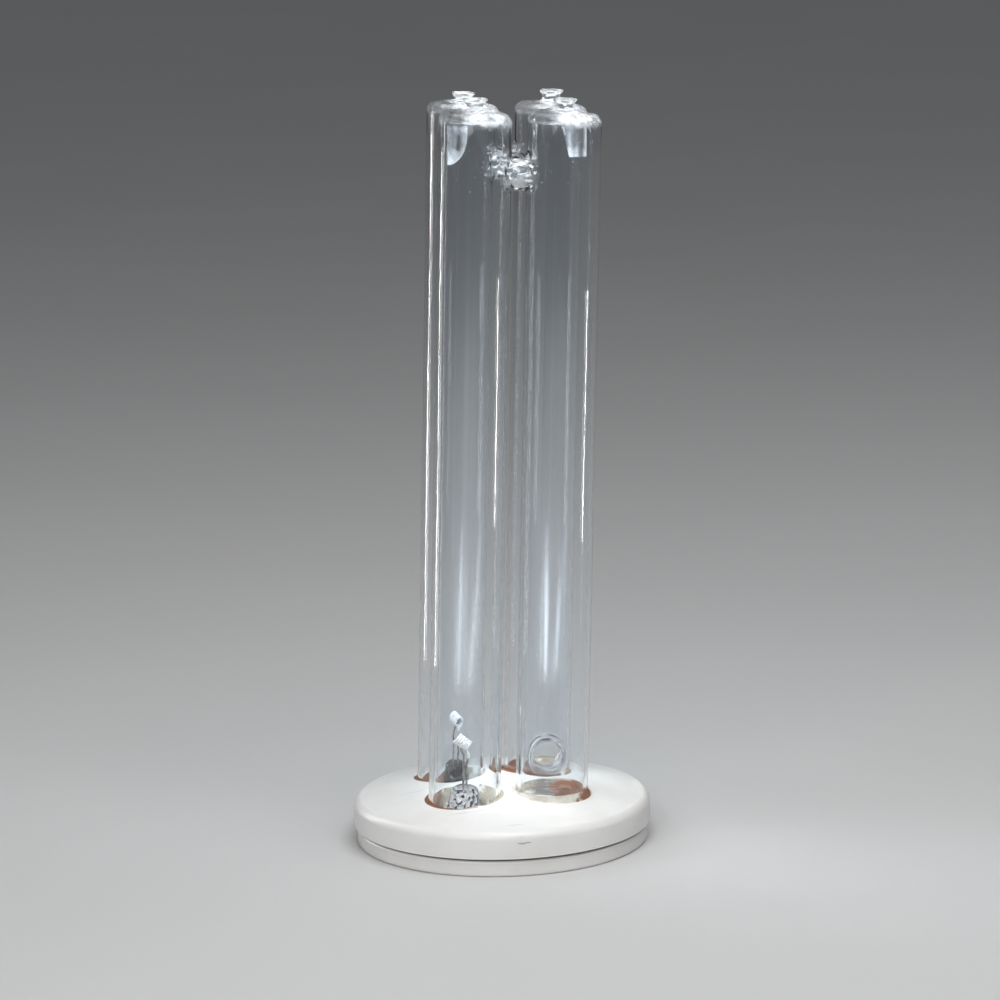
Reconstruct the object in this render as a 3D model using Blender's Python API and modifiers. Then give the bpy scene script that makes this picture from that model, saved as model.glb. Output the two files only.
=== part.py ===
"""A four-limb quartz germicidal lamp on a round two-part base.

Metres, +Z up. The origin is the middle of the base's underside. The base stands square on Z,
and the glass with everything that hangs on it leans a little in its cement, so all those
pieces are built upright and ride on one leaning empty.
"""
import math

import bmesh
import bpy
from mathutils import Vector

# Glass limbs
LIMB_RADIUS = 0.0095
LIMB_WALL = 0.0011
LIMB_SPACE = 0.0041
LIMB_RISE = 0.1790
LIMB_SHOULDER = 0.0024
LIMB_END_WALL = 0.0015
CLOSED_FOOT_SINK = 0.0014
TUBE_LEAN = math.radians(2.2)

# Bridges that join the limbs, and the tip left where each limb was sealed off
BRIDGE_RADIUS = 0.0048
BRIDGE_WALL = 0.0011
BRIDGE_FLARE = 0.0010
TOP_BRIDGE_DROP = 0.0155
FOOT_BRIDGE_RISE = 0.0073
NUB_RADIUS = 0.0032
NUB_NECK = 0.0021
NUB_HEIGHT = 0.0034

# Form of that tip, as shares of its height
NUB_DISH = 0.20
NUB_LIP = 0.15
NUB_FLARE = 0.55
NUB_ROOT = 0.12

# Cap, the domed upper disc
CAP_RADIUS = 0.03925
CAP_EDGE = 0.0023
CAP_SIDE = 0.0073
CAP_CROWN = 0.0041
CAP_WALL = 0.0024
SOCKET_MARGIN = 0.00095
SOCKET_WALL = 0.0015
SOCKET_DEPTH = 0.0084

# Cover, the flat lower disc that closes the cap from below
COVER_INSET = 0.00075
COVER_HEIGHT = 0.0043
COVER_FLOOR = 0.0028
COVER_EDGE = 0.0008
COVER_LIP = 0.0030
COVER_LIP_WALL = 0.0016
PARTING = 0.0005
OUTLET_RADIUS = 0.0062

# Cover screws
SCREW_COUNT = 4
SCREW_INSET = 0.00685
SCREW_RADIUS = 0.0012
SCREW_LENGTH = 0.0075
SCREW_HEAD_RADIUS = 0.0024
SCREW_HEAD_HEIGHT = 0.0013
SCREW_HEAD_CHAMFER = 0.0005
SCREW_POINT = 0.0006
RECESS_LENGTH = 0.0026
RECESS_WIDTH = 0.0006
RECESS_DEPTH = 0.0006
BOSS_WALL = 0.0016

# Electrode mounts
STEM_FLANGE = 0.0014
STEM_RADIUS = 0.0050
STEM_TIP_RADIUS = 0.0030
STEM_RISE = 0.0085
LEAD_RADIUS = 0.0003
LEAD_SPACING = 0.0022
COIL_HEIGHT = 0.0143
COIL_RADIUS = 0.00125
COIL_WIRE = 0.00022
COIL_TURNS = 6
COIL_PITCH = 0.00066
COIL_LEG = 0.0025
COIL_TAIL = 0.0005
LEAD_CROOK = 0.0024
LEAD_BEND = 0.0022
LEAD_RUN = 0.0062
CRIMP_LENGTH = 0.0055
CRIMP_GRIP = 0.0025
CRIMP_WALL = 0.0006

# Clearance between pieces that seat in each other
GAP = 0.00025

# Facets round a full turn, and steps along a curved profile
LIMB_SEGMENTS = 28
BASE_SEGMENTS = 44
SMALL_SEGMENTS = 12
BRIDGE_SEGMENTS = 16
COIL_SEGMENTS = 8
DOME_STEPS = 4
CORNER_STEPS = 3

# Sizes that follow from the ones above
PITCH = 2.0 * LIMB_RADIUS + LIMB_SPACE
LIMB_BORE = LIMB_RADIUS - LIMB_WALL
LIMB_CIRCLE = PITCH / math.sqrt(2.0)
HOLE_RADIUS = LIMB_RADIUS + SOCKET_MARGIN
RIM_Z = COVER_HEIGHT + PARTING + CAP_SIDE
DOME_RADIUS = CAP_RADIUS - CAP_EDGE
SKIRT_BORE = CAP_RADIUS - CAP_WALL
COVER_RADIUS = CAP_RADIUS - COVER_INSET
SCREW_CIRCLE = SKIRT_BORE - SCREW_INSET


def dome_z(radius):
    """Height of the cap's top: a parabola that falls by CAP_CROWN from the axis to the rim."""
    return RIM_Z + CAP_CROWN * (1.0 - (radius / DOME_RADIUS) ** 2)


SOCKET_TOP_Z = dome_z(LIMB_CIRCLE)
SOCKET_FLOOR_Z = SOCKET_TOP_Z - SOCKET_DEPTH
LIMB_TOP_Z = SOCKET_TOP_Z + LIMB_RISE
OPEN_FOOT_Z = SOCKET_FLOOR_Z + LIMB_END_WALL
CLOSED_FOOT_Z = SOCKET_TOP_Z - CLOSED_FOOT_SINK
PIVOT_Z = (SOCKET_TOP_Z + SOCKET_FLOOR_Z) / 2.0
STEM_TOP_Z = OPEN_FOOT_Z + STEM_RISE
LEAD_RUN_Z = (SOCKET_FLOOR_Z + COVER_FLOOR) / 2.0
BOSS_RADIUS = SCREW_RADIUS + GAP + BOSS_WALL
CRIMP_BORE = LEAD_RADIUS + GAP

FRONT_LEFT = Vector((-PITCH / 2.0, -PITCH / 2.0, 0.0))
FRONT_RIGHT = Vector((PITCH / 2.0, -PITCH / 2.0, 0.0))
BACK_LEFT = Vector((-PITCH / 2.0, PITCH / 2.0, 0.0))
BACK_RIGHT = Vector((PITCH / 2.0, PITCH / 2.0, 0.0))
LIMBS = {
    "front_left": FRONT_LEFT,
    "front_right": FRONT_RIGHT,
    "back_left": BACK_LEFT,
    "back_right": BACK_RIGHT,
}

# For each limb with an electrode: the way its two leads are spread, and its coil's axis
ELECTRODES = {
    "front_left": (math.radians(60.0), Vector((0.80, -0.20, -0.56))),
    "back_left": (math.radians(-50.0), Vector((0.45, -0.85, -0.25))),
}


def clear_scene():
    for item in list(bpy.data.objects):
        bpy.data.objects.remove(item, do_unlink=True)


def make_collection(name):
    collection = bpy.data.collections.new(name)
    bpy.context.scene.collection.children.link(collection)
    return collection


def make_material(name, colour, roughness, metallic=0.0, transmission=0.0):
    material = bpy.data.materials.new(name)
    material.use_nodes = True
    shader = material.node_tree.nodes["Principled BSDF"]
    shader.inputs["Base Color"].default_value = (*colour, 1.0)
    shader.inputs["Roughness"].default_value = roughness
    shader.inputs["Metallic"].default_value = metallic
    shader.inputs["Transmission Weight"].default_value = transmission
    return material


def arc(centre_x, centre_z, radius, start, end, steps):
    """Points on a circle in the XZ plane, from one angle to another in degrees."""
    points = []
    for step in range(steps + 1):
        angle = math.radians(start + (end - start) * step / steps)
        points.append((centre_x + radius * math.cos(angle), centre_z + radius * math.sin(angle)))
    return points


def turned(name, profile, segments, collection):
    """A solid of revolution: a profile at +X, listed from the top down its outer side."""
    mesh = bpy.data.meshes.new(name)
    corners = [(x, 0.0, z) for x, z in profile]
    edges = [(index, index + 1) for index in range(len(corners) - 1)]
    mesh.from_pydata(corners, edges, [])
    item = bpy.data.objects.new(name, mesh)
    collection.objects.link(item)
    screw = item.modifiers.new("turn", "SCREW")
    screw.axis = "Z"
    screw.steps = segments
    screw.render_steps = segments
    screw.use_merge_vertices = True
    screw.merge_threshold = 0.00001
    screw.use_smooth_shade = True
    return item


def close_ring(item):
    """Join the last point of a turned profile to the first, for a ring with a hole."""
    ring = bmesh.new()
    ring.from_mesh(item.data)
    ring.verts.ensure_lookup_table()
    ring.edges.new((ring.verts[len(ring.verts) - 1], ring.verts[0]))
    ring.to_mesh(item.data)
    ring.free()
    return item


def rod(name, radius, bottom_z, top_z, segments, collection):
    """A plain cylinder about Z."""
    profile = [(0.0, top_z), (radius, top_z), (radius, bottom_z), (0.0, bottom_z)]
    return turned(name, profile, segments, collection)


def stagger(item, segments, share=0.25):
    """Turn a round tool by a share of a facet, so that its corners miss its neighbours' edges."""
    item.rotation_euler.z = share * 2.0 * math.pi / segments
    return item


def as_cutter(item):
    item.hide_render = True
    item.display_type = "WIRE"
    return item


def combine(item, tool, operation):
    modifier = item.modifiers.new(tool.name, "BOOLEAN")
    modifier.operation = operation
    modifier.solver = "EXACT"
    modifier.object = tool
    as_cutter(tool)
    return item


def combine_all(item, tools, operation):
    """One Boolean with every object of a collection at once."""
    modifier = item.modifiers.new(tools.name, "BOOLEAN")
    modifier.operation = operation
    modifier.solver = "EXACT"
    modifier.operand_type = "COLLECTION"
    modifier.collection = tools
    for tool in tools.objects:
        as_cutter(tool)
    return item


def lean(item, frame):
    """Hang an upright piece on the leaning empty, which stands at the pivot."""
    item.parent = frame
    item.location.z -= PIVOT_Z
    return item


def limb_outer_profile(foot_z, foot_radius):
    """Tip, flat top, shoulder and side of a limb; a closed foot has a rounded corner."""
    tip_z = LIMB_TOP_Z + NUB_HEIGHT
    profile = [(0.0, tip_z - NUB_DISH * NUB_HEIGHT)]
    profile.append((NUB_RADIUS - NUB_LIP * NUB_HEIGHT, tip_z))
    profile.append((NUB_RADIUS, tip_z - NUB_LIP * NUB_HEIGHT))
    profile.append((NUB_NECK, tip_z - NUB_FLARE * NUB_HEIGHT))
    profile.append((NUB_NECK, LIMB_TOP_Z + NUB_ROOT * NUB_HEIGHT))
    profile.append((NUB_NECK + NUB_ROOT * NUB_HEIGHT, LIMB_TOP_Z))
    shoulder_x = LIMB_RADIUS - LIMB_SHOULDER
    shoulder_z = LIMB_TOP_Z - LIMB_SHOULDER
    profile += arc(shoulder_x, shoulder_z, LIMB_SHOULDER, 90.0, 0.0, CORNER_STEPS)
    if foot_radius > 0.0:
        foot_x = LIMB_RADIUS - foot_radius
        profile += arc(foot_x, foot_z + foot_radius, foot_radius, 0.0, -90.0, CORNER_STEPS)
    else:
        profile.append((LIMB_RADIUS, foot_z))
    profile.append((0.0, foot_z))
    return profile


def limb_bore_profile(foot_z):
    """The hollow inside a limb, with rounded ends."""
    top_z = LIMB_TOP_Z - LIMB_END_WALL
    corner = LIMB_SHOULDER - LIMB_WALL
    profile = [(0.0, top_z)]
    profile += arc(LIMB_BORE - corner, top_z - corner, corner, 90.0, 0.0, CORNER_STEPS)
    profile.append((LIMB_BORE, foot_z))
    profile.append((0.0, foot_z))
    return profile


def bridge_reach(radius, limb_radius):
    """From the middle between two limbs to where a tube of this radius has entered the limb."""
    return PITCH / 2.0 - math.sqrt(limb_radius ** 2 - radius ** 2)


def bridge_outer_profile():
    """A short tube that flares in a quarter circle towards both limbs."""
    end_radius = BRIDGE_RADIUS + BRIDGE_FLARE
    reach = bridge_reach(end_radius, LIMB_RADIUS) + BRIDGE_FLARE
    turn_z = LIMB_SPACE / 2.0
    upper = [(0.0, reach), (end_radius, reach)]
    upper += arc(end_radius, turn_z - BRIDGE_FLARE, BRIDGE_FLARE, 90.0, 180.0, CORNER_STEPS)
    lower = [(x, -z) for x, z in reversed(upper)]
    return upper + lower


def bridge_bore_profile():
    radius = BRIDGE_RADIUS - BRIDGE_WALL
    reach = bridge_reach(radius, LIMB_BORE) + LIMB_WALL
    return [(0.0, reach), (radius, reach), (radius, -reach), (0.0, -reach)]


def bridge_places():
    """Name, middle and axis of each bridge, in the order that the discharge passes them."""
    top_z = LIMB_TOP_Z - TOP_BRIDGE_DROP
    foot_z = SOCKET_TOP_Z + FOOT_BRIDGE_RISE
    half = PITCH / 2.0
    return (
        ("top_bridge_front", Vector((0.0, -half, top_z)), "X"),
        ("foot_bridge_right", Vector((half, 0.0, foot_z)), "Y"),
        ("top_bridge_back", Vector((0.0, half, top_z)), "X"),
    )


def make_envelope(parts, frame, material):
    """Four limbs, three bridges and four tips, all one piece of quartz with one bore."""
    shells = make_collection("envelope_shells")
    bores = make_collection("envelope_bores")
    for name, place in LIMBS.items():
        if name in ELECTRODES:
            shell_profile = limb_outer_profile(OPEN_FOOT_Z, 0.0)
            bore_profile = limb_bore_profile(OPEN_FOOT_Z - LIMB_END_WALL)
        else:
            shell_profile = limb_outer_profile(CLOSED_FOOT_Z, LIMB_SHOULDER)
            bore_profile = limb_bore_profile(CLOSED_FOOT_Z + LIMB_END_WALL)
        shell = turned("limb_" + name, shell_profile, LIMB_SEGMENTS, shells)
        bore = turned("bore_" + name, bore_profile, LIMB_SEGMENTS, bores)
        shell.location = place
        bore.location = place
        stagger(bore, LIMB_SEGMENTS)
    for name, place, axis in bridge_places():
        shell = turned(name, bridge_outer_profile(), BRIDGE_SEGMENTS, shells)
        bore = turned(name + "_bore", bridge_bore_profile(), BRIDGE_SEGMENTS, bores)
        for item in (shell, bore):
            item.location = place
            if axis == "X":
                item.rotation_euler.y = math.pi / 2.0
            else:
                item.rotation_euler.x = math.pi / 2.0
    for tool in [*shells.objects, *bores.objects]:
        lean(tool, frame)
    envelope = shells.objects[0]
    envelope.name = "quartz_envelope"
    shells.objects.unlink(envelope)
    parts.objects.link(envelope)
    envelope.data.materials.append(material)
    combine_all(envelope, shells, "UNION")
    combine_all(envelope, bores, "DIFFERENCE")
    return envelope


def cap_profile():
    """Dome, rounded edge and side on the outside, then the skirt and the dome's underside."""
    profile = []
    for step in range(DOME_STEPS + 1):
        radius = DOME_RADIUS * step / DOME_STEPS
        profile.append((radius, dome_z(radius)))
    edge_steps = CORNER_STEPS + 1
    profile += arc(DOME_RADIUS, RIM_Z - CAP_EDGE, CAP_EDGE, 90.0, 0.0, edge_steps)[1:]
    skirt_z = COVER_HEIGHT + PARTING
    profile.append((CAP_RADIUS, skirt_z))
    profile.append((SKIRT_BORE, skirt_z))
    profile.append((SKIRT_BORE, dome_z(SKIRT_BORE) - CAP_WALL))
    for step in range(DOME_STEPS - 1, -1, -1):
        radius = DOME_RADIUS * step / DOME_STEPS
        profile.append((radius, dome_z(radius) - CAP_WALL))
    return profile


def under_dome_profile(depth, bottom_z, radius):
    """A solid plug whose top lies a set depth below the dome."""
    profile = []
    for step in range(DOME_STEPS + 1):
        here = radius * step / DOME_STEPS
        profile.append((here, dome_z(here) - depth))
    profile.append((radius, bottom_z))
    profile.append((0.0, bottom_z))
    return profile


def screw_places():
    places = []
    for index in range(SCREW_COUNT):
        angle = 2.0 * math.pi * index / SCREW_COUNT
        places.append(Vector((SCREW_CIRCLE * math.cos(angle), SCREW_CIRCLE * math.sin(angle), 0.0)))
    return places


def make_cap(parts, tools, material):
    """The domed cap: a shell with four glass sockets and a boss for each screw underneath."""
    cap = turned("cap", cap_profile(), BASE_SEGMENTS, parts)
    cap.data.materials.append(material)
    mid_wall = CAP_WALL / 2.0
    high_z = RIM_Z + 2.0 * CAP_CROWN
    posts = make_collection("cap_posts")
    holes = make_collection("cap_holes")
    for name, place in LIMBS.items():
        radius = HOLE_RADIUS + SOCKET_WALL
        post = rod("socket_" + name, radius, SOCKET_FLOOR_Z, high_z, LIMB_SEGMENTS, posts)
        hole = rod("hole_" + name, HOLE_RADIUS, 0.0, high_z, LIMB_SEGMENTS, holes)
        post.location = place
        hole.location = place
        stagger(post, LIMB_SEGMENTS)
    for index, place in enumerate(screw_places()):
        bottom_z = COVER_FLOOR + GAP
        pilot_z = screw_head_z() + SCREW_HEAD_HEIGHT + SCREW_LENGTH + GAP
        post = rod(f"boss_{index}", BOSS_RADIUS, bottom_z, high_z, SMALL_SEGMENTS, posts)
        pilot = rod(f"pilot_{index}", SCREW_RADIUS + GAP, 0.0, pilot_z, SMALL_SEGMENTS, holes)
        post.location = place
        pilot.location = place
        stagger(post, SMALL_SEGMENTS)
    ceiling = under_dome_profile(mid_wall, -mid_wall, SKIRT_BORE + mid_wall)
    limit = turned("post_limit", ceiling, BASE_SEGMENTS, tools)
    for post in posts.objects:
        combine(post, limit, "INTERSECT")
    combine_all(cap, posts, "UNION")
    combine_all(cap, holes, "DIFFERENCE")
    return cap


def screw_head_z():
    """The underside of a sunk screw head, a clearance above the floor that the base stands on."""
    return GAP


def make_cover(parts, material):
    """The flat disc below: a rounded edge, a lip that enters the cap, and the wire outlet."""
    lip_radius = SKIRT_BORE - GAP
    lip_z = COVER_HEIGHT + COVER_LIP
    lip_bore = lip_radius - COVER_LIP_WALL
    profile = [(OUTLET_RADIUS, COVER_FLOOR), (lip_bore, COVER_FLOOR)]
    profile += [(lip_bore, lip_z), (lip_radius, lip_z), (lip_radius, COVER_HEIGHT)]
    edge_x = COVER_RADIUS - COVER_EDGE
    profile += arc(edge_x, COVER_HEIGHT - COVER_EDGE, COVER_EDGE, 90.0, 0.0, CORNER_STEPS)
    profile += arc(edge_x, COVER_EDGE, COVER_EDGE, 0.0, -90.0, CORNER_STEPS)
    profile.append((OUTLET_RADIUS, 0.0))
    cover = close_ring(turned("base_cover", profile, BASE_SEGMENTS, parts))
    cover.data.materials.append(material)
    sinks = make_collection("cover_sinks")
    for index, place in enumerate(screw_places()):
        radius = SCREW_HEAD_RADIUS + GAP
        sink = rod(f"sink_{index}", radius, -GAP, seat_z(), SMALL_SEGMENTS, sinks)
        shaft = rod(f"shaft_{index}", SCREW_RADIUS + GAP, -GAP, COVER_HEIGHT, SMALL_SEGMENTS, sinks)
        sink.location = place
        shaft.location = place
        stagger(sink, SMALL_SEGMENTS)
        stagger(shaft, SMALL_SEGMENTS, -0.25)
    combine_all(cover, sinks, "DIFFERENCE")
    return cover


def seat_z():
    """The roof of a screw's counterbore."""
    return screw_head_z() + SCREW_HEAD_HEIGHT + GAP


def make_screws(parts, tools, material):
    """Pan-head screws that point up, each with a cross recess in its head."""
    head_z = screw_head_z()
    neck_z = head_z + SCREW_HEAD_HEIGHT
    tip_z = neck_z + SCREW_LENGTH
    profile = [(0.0, tip_z), (SCREW_RADIUS - SCREW_POINT, tip_z)]
    profile += [(SCREW_RADIUS, tip_z - 2.0 * SCREW_POINT), (SCREW_RADIUS, neck_z)]
    profile += [(SCREW_HEAD_RADIUS, neck_z), (SCREW_HEAD_RADIUS, head_z + SCREW_HEAD_CHAMFER)]
    profile += [(SCREW_HEAD_RADIUS - SCREW_HEAD_CHAMFER, head_z), (0.0, head_z)]
    for index, place in enumerate(screw_places()):
        screw = turned(f"cover_screw_{index + 1}", profile, SMALL_SEGMENTS, parts)
        screw.location = place
        screw.data.materials.append(material)
        for turn in (0.0, math.pi / 2.0):
            blade = box_tool(f"blade_{index}_{turn:.0f}", tools)
            blade.scale = (RECESS_LENGTH, RECESS_WIDTH, 2.0 * RECESS_DEPTH)
            blade.location = place + Vector((0.0, 0.0, head_z))
            blade.rotation_euler.z = turn
            combine(screw, blade, "DIFFERENCE")


def box_tool(name, collection):
    """A unit cube for a cutter, sized by its scale."""
    mesh = bpy.data.meshes.new(name)
    cube = bmesh.new()
    bmesh.ops.create_cube(cube, size=1.0)
    cube.to_mesh(mesh)
    cube.free()
    item = bpy.data.objects.new(name, mesh)
    collection.objects.link(item)
    return item


def make_cements(parts, tools, frame, material):
    """Cement that fills each socket round the leaning glass, and under a closed foot."""
    for name, place in LIMBS.items():
        radius = HOLE_RADIUS - GAP
        cement = rod("cement_" + name, radius, SOCKET_FLOOR_Z, LIMB_TOP_Z / 2.0, LIMB_SEGMENTS, parts)
        cement.location = place
        cement.data.materials.append(material)
        level = under_dome_profile(GAP, -GAP, DOME_RADIUS)
        combine(cement, turned("level_" + name, level, BASE_SEGMENTS, tools), "INTERSECT")
        bottom_z = 0.0 if name in ELECTRODES else CLOSED_FOOT_Z - GAP
        glass = rod("glass_" + name, LIMB_RADIUS + GAP, bottom_z, LIMB_TOP_Z, LIMB_SEGMENTS, tools)
        glass.location = place
        combine(cement, lean(glass, frame), "DIFFERENCE")


def electrode(limb):
    """Middle of the limb, the way its two leads are spread, and the coil's axis."""
    angle, axis = ELECTRODES[limb]
    spread = Vector((math.cos(angle), math.sin(angle), 0.0))
    return LIMBS[limb], spread, axis.normalized()


def make_stems(parts, tools, frame, material):
    """The glass foot of each electrode: a flange in the limb's end and a tapered mound."""
    flange = LIMB_BORE - GAP
    neck_z = OPEN_FOOT_Z + STEM_FLANGE
    steps = 2 * CORNER_STEPS
    profile = [(0.0, STEM_TOP_Z)]
    for step in range(steps + 1):
        fall = step / steps
        radius = STEM_TIP_RADIUS + (STEM_RADIUS - STEM_TIP_RADIUS) * math.sqrt(fall)
        profile.append((radius, STEM_TOP_Z + (neck_z - STEM_TOP_Z) * fall))
    profile += [(flange, neck_z), (flange, OPEN_FOOT_Z), (0.0, OPEN_FOOT_Z)]
    for limb in ELECTRODES:
        place, spread, _ = electrode(limb)
        stem = turned("stem_" + limb, profile, BRIDGE_SEGMENTS, parts)
        stem.location = place
        stem.data.materials.append(material)
        for side in (-1.0, 1.0):
            name = f"passage_{limb}_{side:.0f}"
            radius = LEAD_RADIUS + GAP
            passage = rod(name, radius, OPEN_FOOT_Z / 2.0, LIMB_TOP_Z / 2.0, SMALL_SEGMENTS, tools)
            passage.location = place + spread * (side * LEAD_SPACING / 2.0)
            combine(stem, lean(passage, frame), "DIFFERENCE")
        lean(stem, frame)


def wire(name, points, radius, collection, material):
    """A round wire along a list of points, with closed ends."""
    curve = bpy.data.curves.new(name, "CURVE")
    curve.dimensions = "3D"
    curve.bevel_depth = radius
    curve.bevel_resolution = 2
    curve.use_fill_caps = True
    spline = curve.splines.new("POLY")
    spline.points.add(len(points) - 1)
    for index, point in enumerate(points):
        spline.points[index].co = (*point, 1.0)
    curve.materials.append(material)
    item = bpy.data.objects.new(name, curve)
    collection.objects.link(item)
    return item


def bend(start, corner, end, steps):
    """Points on the smooth curve that leaves start towards corner and arrives at end."""
    points = []
    for step in range(1, steps + 1):
        t = step / steps
        points.append(start * (1.0 - t) ** 2 + corner * (2.0 * t * (1.0 - t)) + end * t ** 2)
    return points


def coil_points(limb):
    """The helix of a cathode coil with a straight leg at each end, and the two leg ends."""
    place, spread, axis = electrode(limb)
    middle = place + Vector((0.0, 0.0, SOCKET_TOP_Z + COIL_HEIGHT))
    side = axis.cross(Vector((0.0, 0.0, 1.0))).normalized()
    up = side.cross(axis)
    half = COIL_TURNS * COIL_PITCH / 2.0
    steps = COIL_SEGMENTS * COIL_TURNS
    helix = []
    for step in range(steps + 1):
        t = step / steps
        angle = 2.0 * math.pi * COIL_TURNS * t - math.pi / 2.0
        along = axis * (2.0 * half * t - half)
        helix.append(middle + along + (side * math.cos(angle) + up * math.sin(angle)) * COIL_RADIUS)
    ends = []
    for sign, near in ((-1.0, helix[0]), (1.0, helix[-1])):
        ends.append(near + axis * (sign * COIL_TAIL) - Vector((0.0, 0.0, COIL_LEG)))
    return [ends[0]] + helix + [ends[1]], ends


def make_cathodes(parts, frame, material):
    for limb in ELECTRODES:
        points, _ = coil_points(limb)
        lean(wire("cathode_" + limb, points, COIL_WIRE, parts, material), frame)


def make_leads(parts, frame, material, crimp_material):
    """Two leads for each electrode: from a crimp in the base, up the stem, to a coil leg."""
    for limb in ELECTRODES:
        place, spread, _ = electrode(limb)
        _, ends = coil_points(limb)
        inward = Vector((-place.x, -place.y, 0.0)).normalized()
        across = Vector((-inward.y, inward.x, 0.0))
        for label, sign, leg in (("a", -1.0, ends[0]), ("b", 1.0, ends[1])):
            post = place + spread * (sign * LEAD_SPACING / 2.0)
            turn = post.copy()
            turn.z = LEAD_RUN_Z
            offset = across * (math.copysign(LEAD_SPACING, across.dot(spread) * sign))
            start = place + offset + inward * LEAD_RUN
            start.z = LEAD_RUN_Z
            low = turn + (start - turn).normalized() * LEAD_BEND
            high = post.copy()
            high.z = OPEN_FOOT_Z
            tip = leg + Vector((0.0, 0.0, -GAP - LEAD_RADIUS))
            top = post.copy()
            top.z = STEM_TOP_Z + GAP
            crook = Vector((post.x, post.y, tip.z - LEAD_CROOK))
            knee = Vector((tip.x, tip.y, crook.z + COIL_RADIUS))
            points = [start, low] + bend(low, turn, high, 5)
            points += [top, crook] + bend(crook, knee, tip, 4)
            lean(wire(f"lead_{limb}_{label}", points, LEAD_RADIUS, parts, material), frame)
            direction = (low - start).normalized()
            name = f"crimp_{limb}_{label}"
            crimp = close_ring(turned(name, crimp_profile(), SMALL_SEGMENTS, parts))
            crimp.data.materials.append(crimp_material)
            crimp.location = start
            crimp.rotation_euler = direction.to_track_quat("Z", "Y").to_euler()
            lean(crimp, frame)


def crimp_profile():
    """A short sleeve, most of it past the end of the lead, where the outside wire enters."""
    outer = CRIMP_BORE + CRIMP_WALL
    end_z = CRIMP_GRIP - CRIMP_LENGTH
    return [(CRIMP_BORE, CRIMP_GRIP), (outer, CRIMP_GRIP), (outer, end_z), (CRIMP_BORE, end_z)]


def main():
    clear_scene()
    parts = make_collection("germicidal_lamp")
    tools = make_collection("cutters")
    frame = bpy.data.objects.new("tube_lean", None)
    parts.objects.link(frame)
    frame.location.z = PIVOT_Z
    frame.rotation_euler.y = TUBE_LEAN
    quartz = make_material("quartz", (0.93, 0.96, 0.98), 0.03, transmission=1.0)
    white = make_material("white_moulding", (0.86, 0.86, 0.84), 0.45)
    cement = make_material("cement", (0.52, 0.30, 0.19), 0.85)
    nickel = make_material("lead_wire", (0.45, 0.44, 0.43), 0.35, metallic=1.0)
    oxide = make_material("oxide_coat", (0.88, 0.88, 0.86), 0.8)
    tin = make_material("tinned_copper", (0.66, 0.63, 0.58), 0.3, metallic=1.0)
    zinc = make_material("zinc_plate", (0.60, 0.61, 0.62), 0.3, metallic=1.0)
    make_envelope(parts, frame, quartz)
    make_cap(parts, tools, white)
    make_cover(parts, white)
    make_screws(parts, tools, zinc)
    make_cements(parts, tools, frame, cement)
    make_stems(parts, tools, frame, quartz)
    make_cathodes(parts, frame, oxide)
    make_leads(parts, frame, nickel, tin)


main()
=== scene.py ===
"""The looks of a four-limb quartz germicidal lamp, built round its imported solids.

Metres, +Z up, origin in the middle of the base's underside. The glass is worked out upright
and then leant about the middle of its sockets, as the lamp in the photograph stands.
"""

import math

import bmesh
import bpy
import numpy as np
from mathutils import Matrix, Vector


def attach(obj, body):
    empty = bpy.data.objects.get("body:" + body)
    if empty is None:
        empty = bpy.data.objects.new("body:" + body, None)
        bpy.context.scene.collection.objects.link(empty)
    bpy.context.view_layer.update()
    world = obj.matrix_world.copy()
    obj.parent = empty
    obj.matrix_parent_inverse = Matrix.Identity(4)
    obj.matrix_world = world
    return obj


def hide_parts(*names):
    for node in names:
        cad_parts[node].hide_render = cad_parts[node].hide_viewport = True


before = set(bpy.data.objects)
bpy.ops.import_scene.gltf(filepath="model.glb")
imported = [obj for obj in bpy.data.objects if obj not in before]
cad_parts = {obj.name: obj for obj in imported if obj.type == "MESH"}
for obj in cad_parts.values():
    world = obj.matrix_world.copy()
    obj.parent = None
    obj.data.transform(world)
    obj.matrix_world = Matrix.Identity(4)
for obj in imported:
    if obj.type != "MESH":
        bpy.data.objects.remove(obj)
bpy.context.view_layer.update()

MM = 0.001

# Glass limbs
LIMB_RADIUS = 9.5 * MM
BORE_RADIUS = 8.4 * MM
WALL_MIDDLE = (LIMB_RADIUS + BORE_RADIUS) / 2.0
PITCH = 23.1 * MM
HALF_PITCH = PITCH / 2.0
LIMB_TOP = 194.40 * MM
SHOULDER = 2.4 * MM
BORE_CORNER = 1.3 * MM
END_WALL = 1.5 * MM
OPEN_FOOT = 8.5 * MM
FOOT_RIM = 0.55 * MM
CLOSED_FOOT = 14.0 * MM
LEAN = math.radians(2.2)
PIVOT = 11.2 * MM
CROWN_DROOP = 0.8 * MM
SHORT_TIP = 0.7 * MM

# Bridges between the limbs
BRIDGE_RADIUS = 4.8 * MM
BRIDGE_BORE = 3.7 * MM
BRIDGE_FLARE = 1.0 * MM
BRIDGE_HEIGHTS = {"top": 178.9 * MM, "foot": 22.7 * MM}
BRIDGE_WIDTHS = {"top": 1.0, "foot": 1.18}

# Cap
CAP_RADIUS = 39.25 * MM
CAP_EDGE = 2.3 * MM
CAP_WALL = 2.4 * MM
CAP_CROWN = 4.1 * MM
CAP_FOOT = 4.8 * MM
CAP_FOOT_EDGE = 0.25 * MM
RIM = 12.1 * MM
HOLE_RADIUS = 10.45 * MM
HOLE_EDGE = 0.35 * MM
SOCKET_FLOOR = 7.0 * MM
SOCKET_TOP = 15.4 * MM
SOCKET_OUTSIDE = 11.3 * MM

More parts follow.
